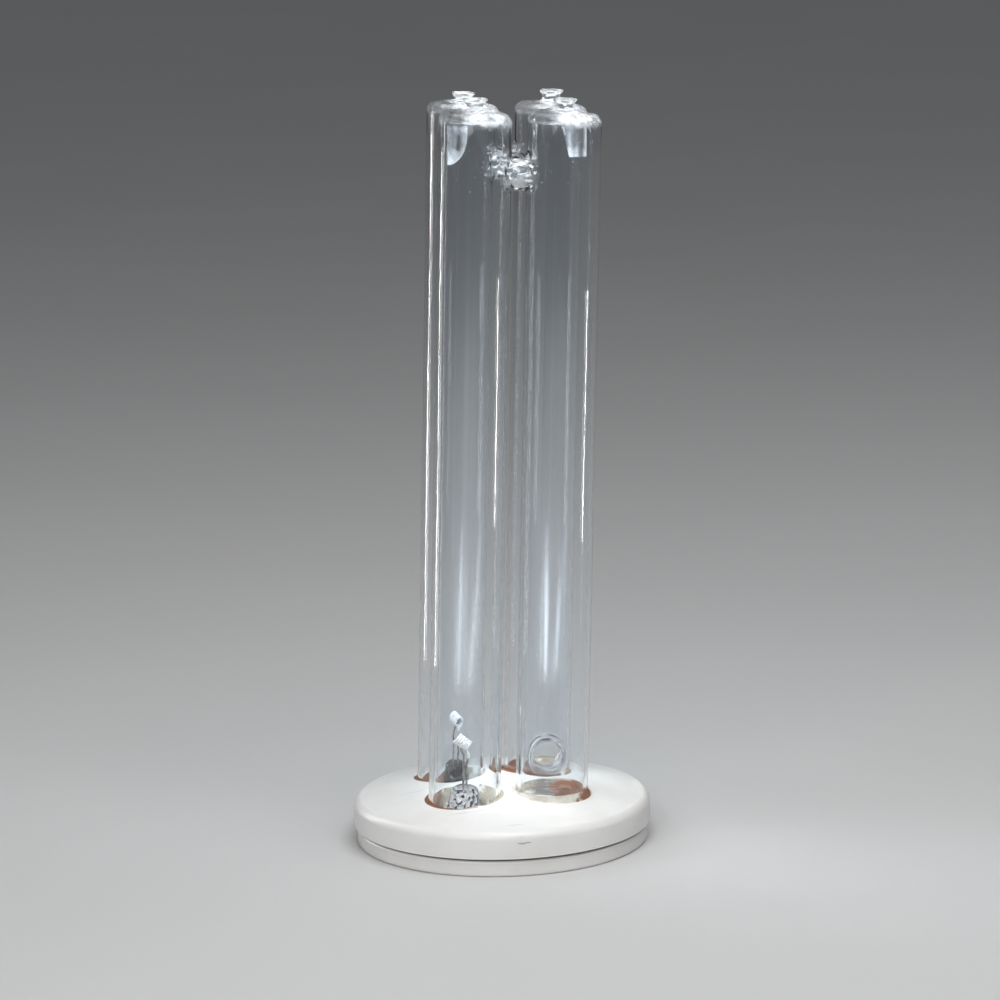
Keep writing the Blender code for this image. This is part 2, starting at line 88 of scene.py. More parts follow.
# Cover
COVER_RADIUS = 38.5 * MM
COVER_HEIGHT = 4.3 * MM
COVER_FLOOR = 2.8 * MM
COVER_EDGE = 0.8 * MM
LIP_TOP = 7.3 * MM
LIP_RADIUS = 36.6 * MM
LIP_BORE = 35.0 * MM
LIP_EDGE = 0.3 * MM
OUTLET_RADIUS = 6.2 * MM
OUTLET_EDGE = 0.4 * MM
SCREW_CIRCLE = 30.0 * MM
SINK_RADIUS = 2.65 * MM
SINK_ROOF = 1.8 * MM
SHAFT_HOLE = 1.45 * MM

# Electrodes
STEM_TOPS = {"front_left": 17.0 * MM, "back_left": 18.0 * MM}
STEM_SEEDS = {"front_left": 41, "back_left": 53}
STEM_FLANGE = 1.4 * MM
STEM_PINCH = 0.06
MOUND_RADIUS = 3.0 * MM
MOUND_SPREAD = 2.0 * MM
FOIL_DEPTH = 0.6 * MM
FOIL_SHARE = 0.78
LEAD_RADIUS = 0.3 * MM
LEAD_SPACING = 2.2 * MM
LEAD_CROOK = 1.5 * MM
LEAD_RUN = 6.2 * MM
LEAD_LEVEL = 4.9 * MM
LEAD_BEND = 2.2 * MM
COIL_RADIUS = 1.25 * MM
COIL_WIRE = 0.22 * MM
COIL_HEIGHT = 14.3 * MM
COIL_TURNS = 6
COIL_PITCH = 0.66 * MM
COIL_TAILS = {-1.0: -0.5 * MM, 1.0: 0.5 * MM}
COIL_DROP = 1.5 * MM
POWDER_REACH = 0.62
CLEARANCE = 0.25 * MM

# Films and cement
FILM_GAP = 0.06 * MM
FROST_INSET = 0.35 * MM
FROST_START = 1.2 * MM
FROST_DEPTH = 4.2 * MM
CEMENT_GAP = 0.12 * MM
SOCKET_GAP = 0.08 * MM

# The photograph's camera stands at this angle from the front, in degrees
CAMERA_TURN = -7.787
FRONT = math.radians(-97.8)

LIMBS = {
    "front_left": np.array([-HALF_PITCH, -HALF_PITCH, 0.0]),
    "front_right": np.array([HALF_PITCH, -HALF_PITCH, 0.0]),
    "back_left": np.array([-HALF_PITCH, HALF_PITCH, 0.0]),
    "back_right": np.array([HALF_PITCH, HALF_PITCH, 0.0]),
}
# For each limb: the way its top bridge leaves it, and its foot bridge where it has one
BRIDGES = {
    "front_left": {"top": 0.0},
    "front_right": {"top": math.pi, "foot": math.pi / 2.0},
    "back_left": {"top": 0.0},
    "back_right": {"top": math.pi, "foot": -math.pi / 2.0},
}
# For each open limb: the way its leads are spread, its coil's axis and its coil's shift
ELECTRODES = {
    "front_left": (math.radians(60.0), np.array([0.80, -0.20, -0.56]), np.array([-0.6, 0.1, -0.7]) * MM),
    "back_left": (math.radians(-50.0), np.array([0.45, -0.85, -0.25]), np.zeros(3)),
}
UP = np.array([0.0, 0.0, 1.0])


# Numpy helpers

def stacked(*parts):
    """Coordinates, each an array or one number, side by side as points."""
    return np.stack(np.broadcast_arrays(*parts), axis=-1)


def circle(angle, radius=1.0):
    """Points of a circle in a plane: radius times (cos a, sin a)."""
    return radius * stacked(np.cos(angle), np.sin(angle))


def on_cylinder(angle, radius, height):
    """Points round Z: (r cos a, r sin a, z)."""
    return stacked(radius * np.cos(angle), radius * np.sin(angle), height)


def ripple(points, size, seed, waves=9):
    """Smooth noise of about -1 to 1: the mean of sine waves of a size in mm, in random directions."""
    rng = np.random.default_rng(seed)
    total = np.zeros(points.shape[:-1])
    for _ in range(waves):
        direction = rng.normal(size=3)
        direction /= np.linalg.norm(direction)
        frequency = 2.0 * math.pi / (size * MM) * rng.uniform(0.7, 1.4)
        total += np.sin(points @ direction * frequency + rng.uniform(0.0, 2.0 * math.pi))
    return total * (2.0 / waves)


def wave(points, size, seed, depth, share=1.0):
    """A shift for each point: a ripple for each axis, of a size and depth in mm, times a share."""
    ripples = stacked(*(ripple(points, size, seed + axis) for axis in range(3)))
    return ripples * depth * MM * np.asarray(share)[..., None]


def smoothstep(value, low, high):
    """0 below low, 1 above high, and a smooth rise between."""
    t = np.clip((value - low) / (high - low), 0.0, 1.0)
    return t * t * (3.0 - 2.0 * t)


def smoothfall(value, low, high):
    """1 below low, 0 above high, and a smooth fall between."""
    return 1.0 - smoothstep(value, low, high)


def band(value, low, low_end, high, high_end):
    """A smooth rise from low to low_end and a smooth fall from high to high_end."""
    return smoothstep(value, low, low_end) * smoothfall(value, high, high_end)


def steps_like(start, steps):
    """Even steps from 0 to 1, shaped to multiply points of any array like start."""
    return np.linspace(0.0, 1.0, steps + 1).reshape((-1,) + (1,) * np.ndim(start))


def line(start, end, steps):
    """Evenly spaced points from a start to an end, or rows of points from one row to another."""
    t = steps_like(start, steps)
    return np.asarray(start) * (1.0 - t) + np.asarray(end) * t


def bezier(start, first, second, end, steps):
    """A cubic Bezier curve with both its ends, or one for each point of a row."""
    t = steps_like(start, steps)
    return (np.asarray(start) * (1.0 - t) ** 3 + np.asarray(first) * 3.0 * t * (1.0 - t) ** 2
            + np.asarray(second) * 3.0 * t ** 2 * (1.0 - t) + np.asarray(end) * t ** 3)


def arc(centre_r, centre_z, radius, start, end, steps):
    """Points on a circle in the profile plane, from one angle to another in degrees."""
    return np.array([centre_r, centre_z]) + circle(np.radians(np.linspace(start, end, steps + 1)), radius)


def chain(*runs):
    """Runs of points end to end, with a point that repeats the one before left out."""
    points = np.concatenate([np.asarray(run, dtype=float).reshape(-1, 2) for run in runs])
    step = np.linalg.norm(np.diff(points, axis=0), axis=1)
    return points[np.concatenate([[True], step > 1e-7])]


def loop(*runs):
    """Runs of points that end where the next starts, as one closed loop."""
    return np.concatenate([run[:-1] for run in runs])


def smooth_curve(points, steps):
    """A Catmull-Rom curve through points: each span is a cubic set by its two neighbours."""
    padded = np.concatenate([2.0 * points[:1] - points[1:2], points, 2.0 * points[-1:] - points[-2:-1]])
    t = np.linspace(0.0, 1.0, steps, endpoint=False)[None, :, None]
    p0, p1, p2, p3 = (padded[k:len(padded) - 3 + k, None, :] for k in range(4))
    curve = 0.5 * (2.0 * p1 + (p2 - p0) * t + (2.0 * p0 - 5.0 * p1 + 4.0 * p2 - p3) * t ** 2
                   + (3.0 * p1 - p0 - 3.0 * p2 + p3) * t ** 3)
    return np.concatenate([curve.reshape(-1, points.shape[1]), points[-1:]])


def turned(profile, columns, start=0.0):
    """A profile of (radius, height) rows swept round Z: (r cos a, r sin a, z) on a grid."""
    angle = start + 2.0 * math.pi * np.arange(columns) / columns
    return on_cylinder(angle, profile[:, 0:1], profile[:, 1:2])


def grid(points, closed=True, flip=False, keep=None):
    """A grid of points with its quads, and its last column joined to its first where it is closed.

    The faces look out where rows run down an outer side and columns turn left. Flip turns them,
    and keep leaves some out.
    """
    rows, columns = points.shape[:2]
    row = np.arange(rows - 1)[:, None] * columns
    column = np.arange(columns if closed else columns - 1)[None, :]
    after = (column + 1) % columns
    quads = stacked(row + column, row + columns + column, row + columns + after, row + after).reshape(-1, 4)
    if keep is not None:
        quads = quads[keep.ravel()]
    if flip:
        quads = quads[:, ::-1]
    return points.reshape(-1, 3), quads


def leant(points):
    """Points turned about Y by the lean, round the pivot in the sockets."""
    x, y, z = points[..., 0], points[..., 1], points[..., 2] - PIVOT
    return stacked(x * math.cos(LEAN) + z * math.sin(LEAN), y,
                   PIVOT - x * math.sin(LEAN) + z * math.cos(LEAN))


def make_piece(name, surfaces, material, replaces=(), sharp=None, weld=2e-6, density=None):
    """One mesh from grids: corners that meet are welded, faces shaded smooth, and the mesh put under the
    root body.

    A density is one number for each point, kept as an attribute for the material of a film.
    """
    starts = np.cumsum([0] + [len(points) for points, _ in surfaces])
    points = np.concatenate([points for points, _ in surfaces])
    quads = np.concatenate([quads + start for (_, quads), start in zip(surfaces, starts)])
    mesh = bpy.data.meshes.new(name)
    mesh.vertices.add(len(points))
    mesh.vertices.foreach_set("co", points.astype(np.float32).ravel())
    mesh.loops.add(quads.size)
    mesh.loops.foreach_set("vertex_index", quads.astype(np.int32).ravel())
    mesh.polygons.add(len(quads))
    mesh.polygons.foreach_set("loop_start", np.arange(0, quads.size, quads.shape[1], dtype=np.int32))
    mesh.update(calc_edges=True)
    if density is not None:
        values = mesh.attributes.new("film_share", "FLOAT", "POINT")
        values.data.foreach_set("value", density.astype(np.float32).ravel())
    work = bmesh.new()
    work.from_mesh(mesh)
    bmesh.ops.remove_doubles(work, verts=work.verts, dist=weld)
    bmesh.ops.dissolve_degenerate(work, edges=work.edges, dist=weld / 2.0)
    work.to_mesh(mesh)
    work.free()
    mesh.shade_smooth()
    if sharp is not None:
        mesh.set_sharp_from_angle(angle=math.radians(sharp))
    mesh.materials.append(material)
    item = bpy.data.objects.new(name, mesh)
    bpy.context.scene.collection.objects.link(item)
    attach(item, "root")
    if replaces:
        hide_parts(*replaces)


# Quartz envelope

COLUMNS = 80
WINDOW_COLUMNS = 11
WINDOW_ROWS = 16
OUTER_WINDOW = 6.2 * MM
INNER_WINDOW = 5.6 * MM


def outer_top():
    """From the tip's dished face over its flared rim and neck, across the flat top, to the side."""
    tip = [(0.0, 2.45), (1.0, 2.5), (2.0, 2.85), (2.75, 3.2), (3.1, 3.16), (3.15, 2.9),
           (2.75, 2.38), (2.25, 1.72), (2.1, 1.1), (2.2, 0.55), (2.7, 0.15), (3.7, 0.02),
           (5.2, 0.04), (6.4, 0.02)]
    tip = smooth_curve(np.array(tip) * MM + np.array([0.0, LIMB_TOP]), 2)
    return chain(tip, arc(LIMB_RADIUS - SHOULDER, LIMB_TOP - SHOULDER, SHOULDER, 90.0, 0.0, 7))


def inner_top():
    """The bore's end, from the side up its rounded corner to the middle of the ceiling."""
    ceiling = LIMB_TOP - END_WALL
    bend = arc(BORE_RADIUS - BORE_CORNER, ceiling - BORE_CORNER, BORE_CORNER, 0.0, 90.0, 5)
    return chain(bend, line((BORE_RADIUS - BORE_CORNER, ceiling), (0.0, ceiling + 0.25 * MM), 12))


def side_levels(window):
    """Heights down a limb's side between its shoulder and its foot, dense at both windows."""
    high, low = BRIDGE_HEIGHTS["top"], BRIDGE_HEIGHTS["foot"]
    top = np.linspace(high + window, high - window, WINDOW_ROWS + 1)
    middle = np.linspace(high - window, low + window, 21)
    foot = np.linspace(low + window, low - window, WINDOW_ROWS + 1)
    return np.concatenate([top, middle[1:-1], foot])


def window_mask(profile, bridges, window):
    """Which quads of a limb's grid stay: all but those inside the window of each bridge."""
    keep = np.ones((len(profile) - 1, COLUMNS), dtype=bool)
    middle = (profile[1:, 1] + profile[:-1, 1]) / 2.0
    on_side = np.abs(profile[1:, 0] - profile[:-1, 0]) < 1e-9
    for kind, turn in bridges.items():
        rows = (np.abs(middle - BRIDGE_HEIGHTS[kind]) < window) & on_side
        centre = round(turn / (2.0 * math.pi) * COLUMNS)
        columns = (centre + np.arange(-WINDOW_COLUMNS, WINDOW_COLUMNS)) % COLUMNS
        keep[np.ix_(rows, columns)] = False
    return keep


def bridge_half(radius, bridge_radius, window, kind, turn, limb):
    """Half a bridge: from its window's edge, over a flare, to the plane between the limbs.

    On the unrolled side of the limb the strip runs from the window's rectangle in to a circle.
    From there each row is a cubic Bezier that leaves along the limb's side, towards the
    bridge's axis, and arrives along that axis.
    """
    height, wide = BRIDGE_HEIGHTS[kind], BRIDGE_WIDTHS[kind]
    across = radius * 2.0 * math.pi / COLUMNS * np.arange(-WINDOW_COLUMNS, WINDOW_COLUMNS + 1)
    along = np.linspace(-window, window, WINDOW_ROWS + 1)
    edge = loop(stacked(across, -window), stacked(across[-1], along),
                stacked(across[::-1], window), stacked(across[0], along[::-1]))
    angle = np.arctan2(edge[:, 1], edge[:, 0])
    mouth = stacked(wide * np.cos(angle), np.sin(angle)) * (bridge_radius + BRIDGE_FLARE)
    flat = line(edge, mouth, 5)
    theta = turn + flat[..., 0] / radius
    patch = on_cylinder(theta, radius, height + flat[..., 1])

    away = np.array([math.cos(turn), math.sin(turn), 0.0])
    aside = np.array([-math.sin(turn), math.cos(turn), 0.0])
    start = patch[-1]
    tangent = stacked(-np.sin(theta[-1]), np.cos(theta[-1]), 0.0)
    leave = -(np.cos(angle)[:, None] * tangent + np.sin(angle)[:, None] * UP)
    arrive = (away * HALF_PITCH + aside * (wide * bridge_radius * np.cos(angle))[:, None]
              + UP * (height + bridge_radius * np.sin(angle))[:, None])
    reach = np.linalg.norm(arrive - start, axis=1)[:, None]
    flare = bezier(start, start + leave * 0.45 * reach, arrive - away * 0.55 * reach, arrive, 10)[1:]
    return np.concatenate([patch, flare]) + limb


def limb_walls(is_open):
    """The profiles of a limb: one round an open foot, or an outer and an inner one if it is closed."""
    outer_side = stacked(LIMB_RADIUS, side_levels(OUTER_WINDOW))
    inner_side = stacked(BORE_RADIUS, side_levels(INNER_WINDOW)[::-1])
    if is_open:
        rim = arc(WALL_MIDDLE, OPEN_FOOT + FOOT_RIM, FOOT_RIM, 0.0, -180.0, 8)
        return [chain(outer_top(), outer_side, rim, inner_side, inner_top())]
    outer_foot = arc(LIMB_RADIUS - SHOULDER, CLOSED_FOOT + SHOULDER, SHOULDER, 0.0, -90.0, 7)
    outer_floor = line((LIMB_RADIUS - SHOULDER, CLOSED_FOOT), (0.0, CLOSED_FOOT), 8)
    floor = CLOSED_FOOT + END_WALL
    inner_floor = line((0.0, floor - 0.2 * MM), (BORE_RADIUS - BORE_CORNER, floor), 9)
    inner_foot = arc(BORE_RADIUS - BORE_CORNER, floor + BORE_CORNER, BORE_CORNER, -90.0, 0.0, 5)
    return [chain(outer_top(), outer_side, outer_foot, outer_floor),
            chain(inner_floor, inner_foot, inner_side, inner_top())]


def envelope_surfaces():
    """Every wall of the envelope: limbs inside and out, closed or open feet, and half bridges."""
    surfaces = []
    for name, place in LIMBS.items():
        bridges = BRIDGES[name]
        for profile in limb_walls(name in ELECTRODES):
            outside = profile[:, 0] > WALL_MIDDLE
            keep = np.where((outside[1:] & outside[:-1])[:, None],
                            window_mask(profile, bridges, OUTER_WINDOW),
                            window_mask(profile, bridges, INNER_WINDOW))
            surfaces.append(grid(turned(profile, COLUMNS) + place, keep=keep))
        for kind, turn in bridges.items():
            outer = bridge_half(LIMB_RADIUS, BRIDGE_RADIUS, OUTER_WINDOW, kind, turn, place)
            inner = bridge_half(BORE_RADIUS, BRIDGE_BORE, INNER_WINDOW, kind, turn, place)
            surfaces += [grid(outer, flip=True), grid(inner)]
    return surfaces


def bridge_nearness(points):
    """1 at the middle of a bridge, falling to 0 at 9 mm from it, and less at the foot bridge."""
    high, low = BRIDGE_HEIGHTS["top"], BRIDGE_HEIGHTS["foot"]
    middles = ((0.0, -HALF_PITCH, high, 1.0), (0.0, HALF_PITCH, high, 1.0), (HALF_PITCH, 0.0, low, 0.25))
    nearness = np.zeros(points.shape[:-1])
    for *middle, share in middles:
        distance = np.linalg.norm(points - np.array(middle), axis=-1)
        nearness = np.maximum(nearness, share * smoothfall(distance, 4.5 * MM, 9.0 * MM))
    return nearness


def worked_glass(points):
    """Hand-worked glass: a slow wander all over, and crumples where it was heated and closed.

    The tops also droop on their right, and the tip of the back left limb is shorter.
    """
    x, y, z = points[..., 0], points[..., 1], points[..., 2]
    crown = smoothstep(z, LIMB_TOP - 5.0 * MM, LIMB_TOP - 1.0 * MM)
    foot = smoothfall(z, CLOSED_FOOT + 1.0 * MM, CLOSED_FOOT + 5.0 * MM)
    tip = smoothstep(z, LIMB_TOP + 0.6 * MM, LIMB_TOP + 1.6 * MM)
    near = bridge_nearness(points)
    moved = points + wave(points, 45.0, 3, 0.04)
    aside = x - np.sign(x) * HALF_PITCH
    moved[..., 2] -= CROWN_DROOP * crown * smoothstep(aside, 2.0 * MM, LIMB_RADIUS)
    high = smoothstep(z, LIMB_TOP + 0.4 * MM, LIMB_TOP + 2.4 * MM)
    moved[..., 2] -= SHORT_TIP * high * ((x < 0.0) & (y > 0.0))
    moved += wave(points, 2.3, 11, 0.13, crown * (1.0 - 0.3 * tip))
    moved += wave(points, 5.5, 17, 0.16, crown * (1.0 - tip))
    moved += wave(points, 3.5, 23, 0.06, foot)
    moved += wave(points, 3.2, 31, 0.15, near)
    moved += wave(points, 1.5, 37, 0.05, near)
    return moved


# Films and specks on the glass

def wall_film(name, limb, turn, heights, outline, density, material):
    """A thin film on a limb's inner wall, over a patch of angles and heights.

    A point is at the bore's radius less a hair, at the angle turn[0] + (turn[1] - turn[0]) times
    outline(u, v), where u runs across the patch and v down it, both from 0 to 1.
    """
    u, v = np.meshgrid(np.linspace(0.0, 1.0, 33), np.linspace(0.0, 1.0, 49))
    angle = FRONT + np.radians(turn[0] + (turn[1] - turn[0]) * outline(u, v))
    z = heights[0] + (heights[1] - heights[0]) * v
    points = worked_glass(on_cylinder(angle, BORE_RADIUS - FILM_GAP, z) + LIMBS[limb])
    make_piece(name, [grid(leant(points), closed=False)], material,
               density=density(u, v, points))


def soft_edges(u, v, side=0.08, top=0.10, bottom=0.05):
    """1 inside a patch and 0 at its edges, with a soft border of the given widths."""
    return band(u, 0.0, side, 1.0 - side, 1.0) * band(v, 0.0, top, 1.0 - bottom, 1.0)


def half_moon(u, v):
    """Straight on its left and bulging on its right, narrowing to its foot."""
    return 0.06 + 0.10 * v + u * (0.94 * np.sqrt(np.clip(1.0 - v ** 3.2, 0.02, 1.0)) - 0.10 * v)


def half_moon_density(u, v, points):
    """Bright at its foot, its right edge and its top, with a dark slot, times fine streaks."""
    streak = 0.75 + 0.35 * ripple(points * [1.0, 1.0, 0.15], 2.0, 201)
    glow = 0.16 + 0.55 * smoothstep(v, 0.45, 0.95) + 0.38 * smoothstep(u, 0.72, 0.95) * (1.0 - v)
    glow = glow + 0.30 * smoothstep(u, 0.3, 0.5) * smoothfall(v, 0.0, 0.25)
    slot = band(u, 0.52, 0.58, 0.68, 0.74) * band(v, 0.22, 0.30, 0.58, 0.66)
    return np.clip(1.55 * glow * streak * (1.0 - 0.85 * slot), 0.0, 1.0) * soft_edges(u, v)


def wedge(u, v):
    """A trapezoid that narrows from the left towards its foot."""
    return 0.30 * v + u * (1.0 - 0.30 * v)


def wedge_density(u, v, points):
    """Bright at its foot and both sides, with a dimmer band down it, times fine streaks."""
    streak = 0.8 + 0.4 * ripple(points * [1.0, 1.0, 0.15], 2.4, 211)
    glow = 0.30 + 0.50 * smoothstep(v, 0.55, 0.95) + 0.45 * smoothfall(u, 0.10, 0.35)
    glow = glow + 0.5 * smoothstep(u, 0.86, 0.92)
    dim = 1.0 - 0.6 * band(u, 0.50, 0.58, 0.74, 0.82)
    return np.clip(glow * streak * dim, 0.0, 1.0) * soft_edges(u, v, 0.06, 0.08, 0.05)


def straight(u, v):
    """Even all the way down."""
    return u + 0.0 * v


def haze_density(u, v, points):
    """Two soft streaks that widen downwards, the fainter one leaning in from the right."""
    streak = 0.8 + 0.4 * ripple(points * [1.0, 1.0, 0.02], 1.8, 231)
    main = np.exp(-((u - 0.345) / (0.04 + 0.08 * v)) ** 2) * smoothstep(v, 0.25, 0.72)
    second = np.exp(-((u - 1.02 + 0.46 * v) / (0.04 + 0.05 * v)) ** 2) * smoothstep(v, 0.15, 0.80)
    haze = 0.10 * smoothstep(v, 0.1, 0.7)
    glow = (0.85 * main + 0.40 * second + haze) * (1.0 - 0.5 * smoothstep(v, 0.8, 1.0))
    return np.clip(glow * streak, 0.0, 1.0) * soft_edges(u, v, 0.2, 0.2, 0.12)


def crown_film(limb, material):
    """Frosting inside the closed top: from the tip's root, under the flat top, over the shoulder.

    Its density is a cloudy ripple, thin on the left, with a bright mass in the middle that is a painted
    highlight for the glints on the top.
    """
    level, side = LIMB_TOP - FROST_INSET, LIMB_RADIUS - FROST_INSET
    profile = chain(
        line((FROST_START, level), (LIMB_RADIUS - SHOULDER, level), 18),
        arc(LIMB_RADIUS - SHOULDER, LIMB_TOP - SHOULDER, SHOULDER - FROST_INSET, 90.0, 0.0, 7),
        line((side, LIMB_TOP - SHOULDER), (side, LIMB_TOP - FROST_DEPTH), 5),
    )
    local = turned(profile, COLUMNS)
    points = local + LIMBS[limb]
    x = local[..., 0]
    radius = np.hypot(x, local[..., 1])
    cloud = 0.5 + 0.5 * ripple(points, 4.5, 221) + 0.5 * ripple(points, 1.5, 227)
    # The bright mass is a painted highlight: dense frost that stands in for the glints on the top.
    glint_mass = smoothstep(x, -4.5 * MM, -0.5 * MM) * (1.0 - 0.5 * smoothstep(x, 3.5 * MM, 7.5 * MM))
    density = np.clip(cloud + 0.25 * glint_mass, 0.0, 1.0) ** 1.4 * (0.09 + 0.83 * glint_mass)
    density = density * smoothstep(points[..., 2], LIMB_TOP - FROST_DEPTH, LIMB_TOP - 1.2 * MM)
    density = density * smoothstep(radius, FROST_START, FROST_START + 1.0 * MM)
    make_piece("crown_frost_and_glints_" + limb, [grid(leant(worked_glass(points)))], material,
               density=density)


def bridge_film(kind, material):
    """Frosting inside the bridges: over their flares and along their bores, a hair off the wall.

    At the foot it is an even milky veil, and at the top it lies in bright patches that are painted glints.
    """
    surfaces, shares = [], []
    for limb, bridges in BRIDGES.items():
        if kind not in bridges:
            continue
        points = bridge_half(BORE_RADIUS - FILM_GAP, BRIDGE_BORE - 2.0 * FILM_GAP, INNER_WINDOW, kind,
                             bridges[kind], LIMBS[limb])[3:]
        if kind == "foot":
            share = 0.22 * (1.0 + 0.35 * ripple(points, 3.0, 251))
        else:
            # Bright patches: painted glints in the top bridges.
            share = 0.03 + 0.80 * smoothstep(ripple(points * [1.0, 1.0, 2.0], 2.8, 257), 0.42, 0.72)
        fade = smoothstep(np.arange(len(points)), 0.0, 3.0)[:, None]
        shares.append((np.clip(share, 0.0, 1.0) * fade).ravel())
        surfaces.append(grid(leant(worked_glass(points))))
    make_piece("bridge_frost_" + kind, surfaces, material, density=np.concatenate(shares))


def make_specks(material):
    """Tiny beads stuck to the inner walls: eight-sided, in loose swarms near the feet and bridges."""
    rng = np.random.default_rng(241)
    count = 340
    corners = np.array([[1, 0, 0], [0, 1, 0], [-1, 0, 0], [0, -1, 0], [0, 0, 1], [0, 0, -1]], dtype=float)
    faces = np.array([[0, 1, 4], [1, 2, 4], [2, 3, 4], [3, 0, 4],
                      [1, 0, 5], [2, 1, 5], [3, 2, 5], [0, 3, 5]])
    places = np.array(list(LIMBS.values()))[rng.integers(0, 4, count)]
    angle = rng.uniform(0.0, 2.0 * math.pi, count)
    swarm = rng.random(count)
    near_foot = CLOSED_FOOT + 6.0 * MM + 55.0 * MM * rng.random(count) ** 1.3
    near_bridge = BRIDGE_HEIGHTS["top"] - 8.0 * MM + 14.0 * MM * rng.random(count)
    anywhere = CLOSED_FOOT + 10.0 * MM + 150.0 * MM * rng.random(count)
    z = np.where(swarm < 0.45, near_foot, np.where(swarm < 0.65, near_bridge, anywhere))
    size = (0.08 + 0.15 * rng.random(count) ** 2.5) * MM
    middle = places + on_cylinder(angle, BORE_RADIUS - size - 0.08 * MM, z)
    points = middle[:, None] + corners[None] * size[:, None, None]
    sides = faces[None] + 6 * np.arange(count)[:, None, None]
    make_piece("wall_specks", [(leant(points).reshape(-1, 3), sides.reshape(-1, 3))], material,
               weld=1e-7)


# Electrodes

def swept(path, radius, sides=12):
    """A round tube along a path: circles square to it, turned as little as possible, ends closed.

    The radius may be one number or one for each point.
    """
    tangent = np.gradient(path, axis=0)
    tangent /= np.linalg.norm(tangent, axis=1)[:, None]
    normal = np.cross(tangent[0], [0.3, 0.5, 0.8])
    normals = []
    for direction in tangent:
        normal = normal - direction * normal.dot(direction)
        normal = normal / np.linalg.norm(normal)
        normals.append(normal)
    normals = np.array(normals)
    across = np.cross(tangent, normals)
    round_it = circle(2.0 * math.pi * np.arange(sides) / sides)
    ring = normals[:, None] * round_it[:, :1] + across[:, None] * round_it[:, 1:]
    tube = path[:, None] + ring * np.broadcast_to(radius, len(path))[:, None, None]
    ends = np.repeat(path[[0, -1], None], sides, axis=1)
    return grid(np.concatenate([ends[:1], tube, ends[1:]]), flip=True)


def pinched(points, neck, spread):
    """Points drawn in across the leads: x and y times 1 less the pinch times sin(a) squared."""
    rise = smoothstep(points[..., 2], neck, neck + 3.0 * MM)
    angle = np.arctan2(points[..., 1], points[..., 0]) - spread
    pinch = 1.0 - STEM_PINCH * rise * np.sin(angle) ** 2
    return points * stacked(pinch, pinch, 1.0)


def make_stem(limb, glass, foil):
    """The quartz foot: a flange with a crumpled mound, pinched across its leads, and foil inside it.

    The mound's radius grows with the square root of the depth below its top.
    """
    place, spread, seed = LIMBS[limb], ELECTRODES[limb][0], STEM_SEEDS[limb]
    summit, neck = STEM_TOPS[limb], OPEN_FOOT + STEM_FLANGE
    flange = BORE_RADIUS - CLEARANCE
    columns = 72
    t = np.linspace(0.0, 1.0, 26)
    mound = stacked(MOUND_RADIUS + MOUND_SPREAD * np.sqrt(t), summit + (neck - summit) * t)
    top = line((0.0, summit + 0.1 * MM), (mound[0, 0], summit), 5)
    profile = chain(top, mound, line(mound[-1], (flange, neck), 6),
                    line((flange, neck), (flange, OPEN_FOOT), 2),
                    line((flange, OPEN_FOOT), (0.0, OPEN_FOOT), 5))
    points = turned(profile, columns)
    inside = smoothfall(np.hypot(points[..., 0], points[..., 1]), 5.6 * MM, 6.4 * MM)
    amount = inside * smoothstep(points[..., 2], neck - 0.2 * MM, neck + 0.4 * MM)
    points = pinched(points, neck, spread)
    points = points + wave(points, 2.6, seed, 0.16, amount)
    points = points + wave(points, 1.1, seed + 5, 0.06, amount)
    make_piece("stem_glass_" + limb, [grid(leant(points + place))], glass, ["stem_" + limb])

    core = chain(top, mound * [FOIL_SHARE, 1.0]) - [0.0, FOIL_DEPTH]
    core = chain(core, line(core[-1], (0.0, core[-1, 1]), 4))
    points = pinched(turned(core, columns), neck, spread)
    points = points + wave(points, 1.9, seed + 9, 0.17)
    points = points + wave(points, 0.8, seed + 13, 0.07)
    make_piece("seal_foil_" + limb, [grid(leant(points + place))], foil)


def coil_path(limb):
    """The coil's helix with its two legs, where each leg ends, and the axis of its powder."""
    _, axis, shift = ELECTRODES[limb]
    axis = axis / np.linalg.norm(axis)
    middle = LIMBS[limb] + UP * (SOCKET_TOP + COIL_HEIGHT) + shift
    side = np.cross(axis, UP)
    side /= np.linalg.norm(side)
    up = np.cross(side, axis)
    length = COIL_TURNS * COIL_PITCH
    t = np.linspace(0.0, 1.0, 30 * COIL_TURNS + 1)[:, None]
    angle = 2.0 * math.pi * COIL_TURNS * t - math.pi / 2.0
    helix = middle + axis * length * (t - 0.5) + (side * np.cos(angle) + up * np.sin(angle)) * COIL_RADIUS
    legs = []
    for sign, near in ((-1.0, helix[0]), (1.0, helix[-1])):
        home = (LIMBS[limb] - near) * [1.0, 1.0, 0.0]
        drop = COIL_DROP * (0.75 + 0.25 * sign)
        legs.append(near + axis * (sign * COIL_TAILS[sign]) + home * 0.45 - UP * drop)
    first = bezier(legs[0], legs[0] + UP * 0.5 * drop, helix[0] - side * 0.7 * MM, helix[0], 8)
    last = bezier(helix[-1], helix[-1] + side * 0.9 * MM + axis * 0.6 * MM,
                  legs[1] + axis * 0.9 * MM + UP * 0.3 * drop, legs[1], 10)
    barrel = middle + axis * length * (line((0.0,), (POWDER_REACH,), 24) - 0.5)
    return np.concatenate([first[:-1], helix, last[1:]]), legs, barrel


def make_coil(limb, material):
    """The cathode: a white-coated wire, thickest at its first turns, which are packed with powder."""
    path, _, barrel = coil_path(limb)
    thick = COIL_WIRE * (np.linspace(1.75, 1.35, len(path)) + 0.12 * ripple(path, 1.3, 61))
    t = np.linspace(-1.0, 1.0, len(barrel))
    packed = COIL_RADIUS * np.sqrt(np.clip(1.0 - t ** 6, 0.01, 1.0))
    packed = packed * (1.0 + 0.04 * ripple(barrel, 0.9, 67))
    surfaces = [swept(leant(path), thick, 14), swept(leant(barrel), packed, 24)]
    make_piece("coil_" + limb, surfaces, material, ["cathode_" + limb])


